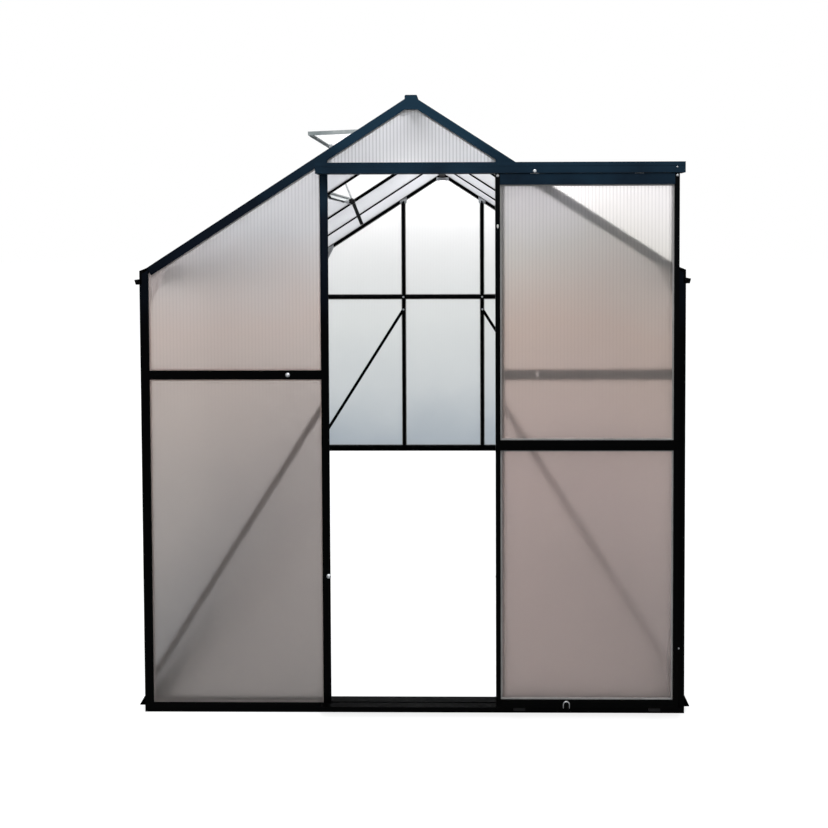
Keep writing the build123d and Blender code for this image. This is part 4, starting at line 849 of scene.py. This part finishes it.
# Floor, background and light
FLOOR_SIZE = 60.0
FLOOR_DROP = 0.001
FLOOR_PALE = 0.85
FLOOR_WHITE = 0.82
FLOOR_GREY = 0.36
FLOOR_CELLS = 4
floor_mesh = bmesh.new()
bmesh.ops.create_grid(floor_mesh, x_segments=FLOOR_CELLS, y_segments=FLOOR_CELLS, size=FLOOR_SIZE / 2)
bmesh.ops.translate(floor_mesh, verts=floor_mesh.verts, vec=(0, 0, CAD_BOX[0].z - FLOOR_DROP))
floor_data = bpy.data.meshes.new("floor")
floor_mesh.to_mesh(floor_data)
floor_mesh.free()
floor = bpy.data.objects.new("floor", floor_data)
bpy.context.scene.collection.objects.link(floor)
floor_material, floor_shader = new_material("pale_floor")
floor_shader.inputs["Base Color"].default_value = (FLOOR_GREY, FLOOR_GREY, FLOOR_GREY, 1)
floor_shader.inputs["Roughness"].default_value = 0.9
floor_tree = floor_material.node_tree
floor_path = floor_tree.nodes.new("ShaderNodeLightPath")
floor_place = floor_tree.nodes.new("ShaderNodeTexCoord")
floor_split = floor_tree.nodes.new("ShaderNodeSeparateXYZ")
link(floor_material, floor_place.outputs["Object"], floor_split.inputs["Vector"])


def floor_math(operation, first, second):
    """A math node of the floor; a number is set on its socket and an output is linked."""
    node = floor_tree.nodes.new("ShaderNodeMath")
    node.operation = operation
    for value, socket in ((first, node.inputs[0]), (second, node.inputs[1])):
        if isinstance(value, float):
            socket.default_value = value
        else:
            link(floor_material, value, socket)
    return node.outputs[0]


def floor_mix(factor, plain, special):
    node = floor_tree.nodes.new("ShaderNodeMixShader")
    link(floor_material, factor, node.inputs["Fac"])
    link(floor_material, plain, node.inputs[1])
    link(floor_material, special, node.inputs[2])
    return node.outputs["Shader"]


def floor_glow(strength):
    node = floor_tree.nodes.new("ShaderNodeEmission")
    node.inputs["Strength"].default_value = strength
    return node.outputs["Emission"]


# The floor round the house shows pale through the sheets, and white with a faint shadow to the camera
beside = floor_math("GREATER_THAN", floor_math("ABSOLUTE", floor_split.outputs["X"], 0.0), CAD_BOX[1].x)
before = floor_math("GREATER_THAN", floor_math("ABSOLUTE", floor_split.outputs["Y"], 0.0), CAD_BOX[1].y)
around = floor_math("MAXIMUM", beside, before)
through = floor_math("MULTIPLY", around, floor_path.outputs["Is Transmission Ray"])
floor_surface = floor_mix(through, floor_shader.outputs["BSDF"], floor_glow(FLOOR_PALE))
floor_white = floor_tree.nodes.new("ShaderNodeAddShader")
link(floor_material, floor_shader.outputs["BSDF"], floor_white.inputs[0])
link(floor_material, floor_glow(FLOOR_WHITE), floor_white.inputs[1])
floor_surface = floor_mix(floor_path.outputs["Is Camera Ray"], floor_surface, floor_white.outputs["Shader"])
link(floor_material, floor_surface, floor_tree.nodes["Material Output"].inputs["Surface"])
floor_data.materials.append(floor_material)

# The background is white to the camera, in reflections and through the sheets, and a softer light elsewhere
WORLD_LIGHT = 0.5
world = bpy.data.worlds.new("studio")
bpy.context.scene.world = world
world.use_nodes = True
tree = world.node_tree
soft = tree.nodes["Background"]
soft.inputs["Color"].default_value = (0.93, 0.97, 1.0, 1)
soft.inputs["Strength"].default_value = WORLD_LIGHT
plain = tree.nodes.new("ShaderNodeBackground")
plain.inputs["Color"].default_value = (1, 1, 1, 1)
plain.inputs["Strength"].default_value = 1.0
path = tree.nodes.new("ShaderNodeLightPath")
choice = tree.nodes.new("ShaderNodeMixShader")
factor = path.outputs["Is Camera Ray"]
for ray in ("Is Transmission Ray", "Is Glossy Ray"):
    seen_white = tree.nodes.new("ShaderNodeMath")
    seen_white.operation = "MAXIMUM"
    tree.links.new(factor, seen_white.inputs[0])
    tree.links.new(path.outputs[ray], seen_white.inputs[1])
    factor = seen_white.outputs[0]
tree.links.new(factor, choice.inputs["Fac"])
tree.links.new(soft.outputs["Background"], choice.inputs[1])
tree.links.new(plain.outputs["Background"], choice.inputs[2])
tree.links.new(choice.outputs["Shader"], tree.nodes["World Output"].inputs["Surface"])


def add_area_light(name, place, target, size, power):
    light = bpy.data.lights.new(name, "AREA")
    light.shape = "SQUARE"
    light.size = size
    light.energy = power
    lamp = bpy.data.objects.new(name, light)
    lamp.location = place
    aim = Vector(target) - Vector(place)
    lamp.rotation_euler = aim.to_track_quat("-Z", "Y").to_euler()
    bpy.context.scene.collection.objects.link(lamp)


add_area_light("overhead", place=(0.3, -2.6, 4.6), target=(0, -0.6, 1.4), size=3.0, power=110)
add_area_light("behind", place=(-0.5, 4.5, 4.2), target=(0, 0.6, 1.2), size=4.0, power=160)

# Camera
camera_data = bpy.data.cameras.new("camera")
camera_data.lens = CAMERA_LENS
camera_data.sensor_width = CAMERA_SENSOR
camera_data.shift_x = CAMERA_SHIFT_X
camera_data.shift_y = CAMERA_SHIFT_Y
camera = bpy.data.objects.new("camera", camera_data)
yaw = radians(CAMERA_YAW)
pitch = radians(CAMERA_PITCH)
roll = radians(CAMERA_ROLL)
right = Vector((cos(yaw), -sin(yaw), 0))
ahead = Vector((sin(yaw) * cos(pitch), cos(yaw) * cos(pitch), -sin(pitch)))
down = ahead.cross(right)
image_right = right * cos(roll) + down * sin(roll)
image_down = down * cos(roll) - right * sin(roll)
turn = Matrix((image_right, -image_down, -ahead)).transposed()
place = Vector((CAMERA_X, FRONT_Y - CAMERA_DISTANCE, CAMERA_Z))
camera.matrix_world = Matrix.Translation(place) @ turn.to_4x4()
bpy.context.scene.collection.objects.link(camera)
bpy.context.scene.camera = camera
bpy.context.scene.view_settings.view_transform = "Standard"
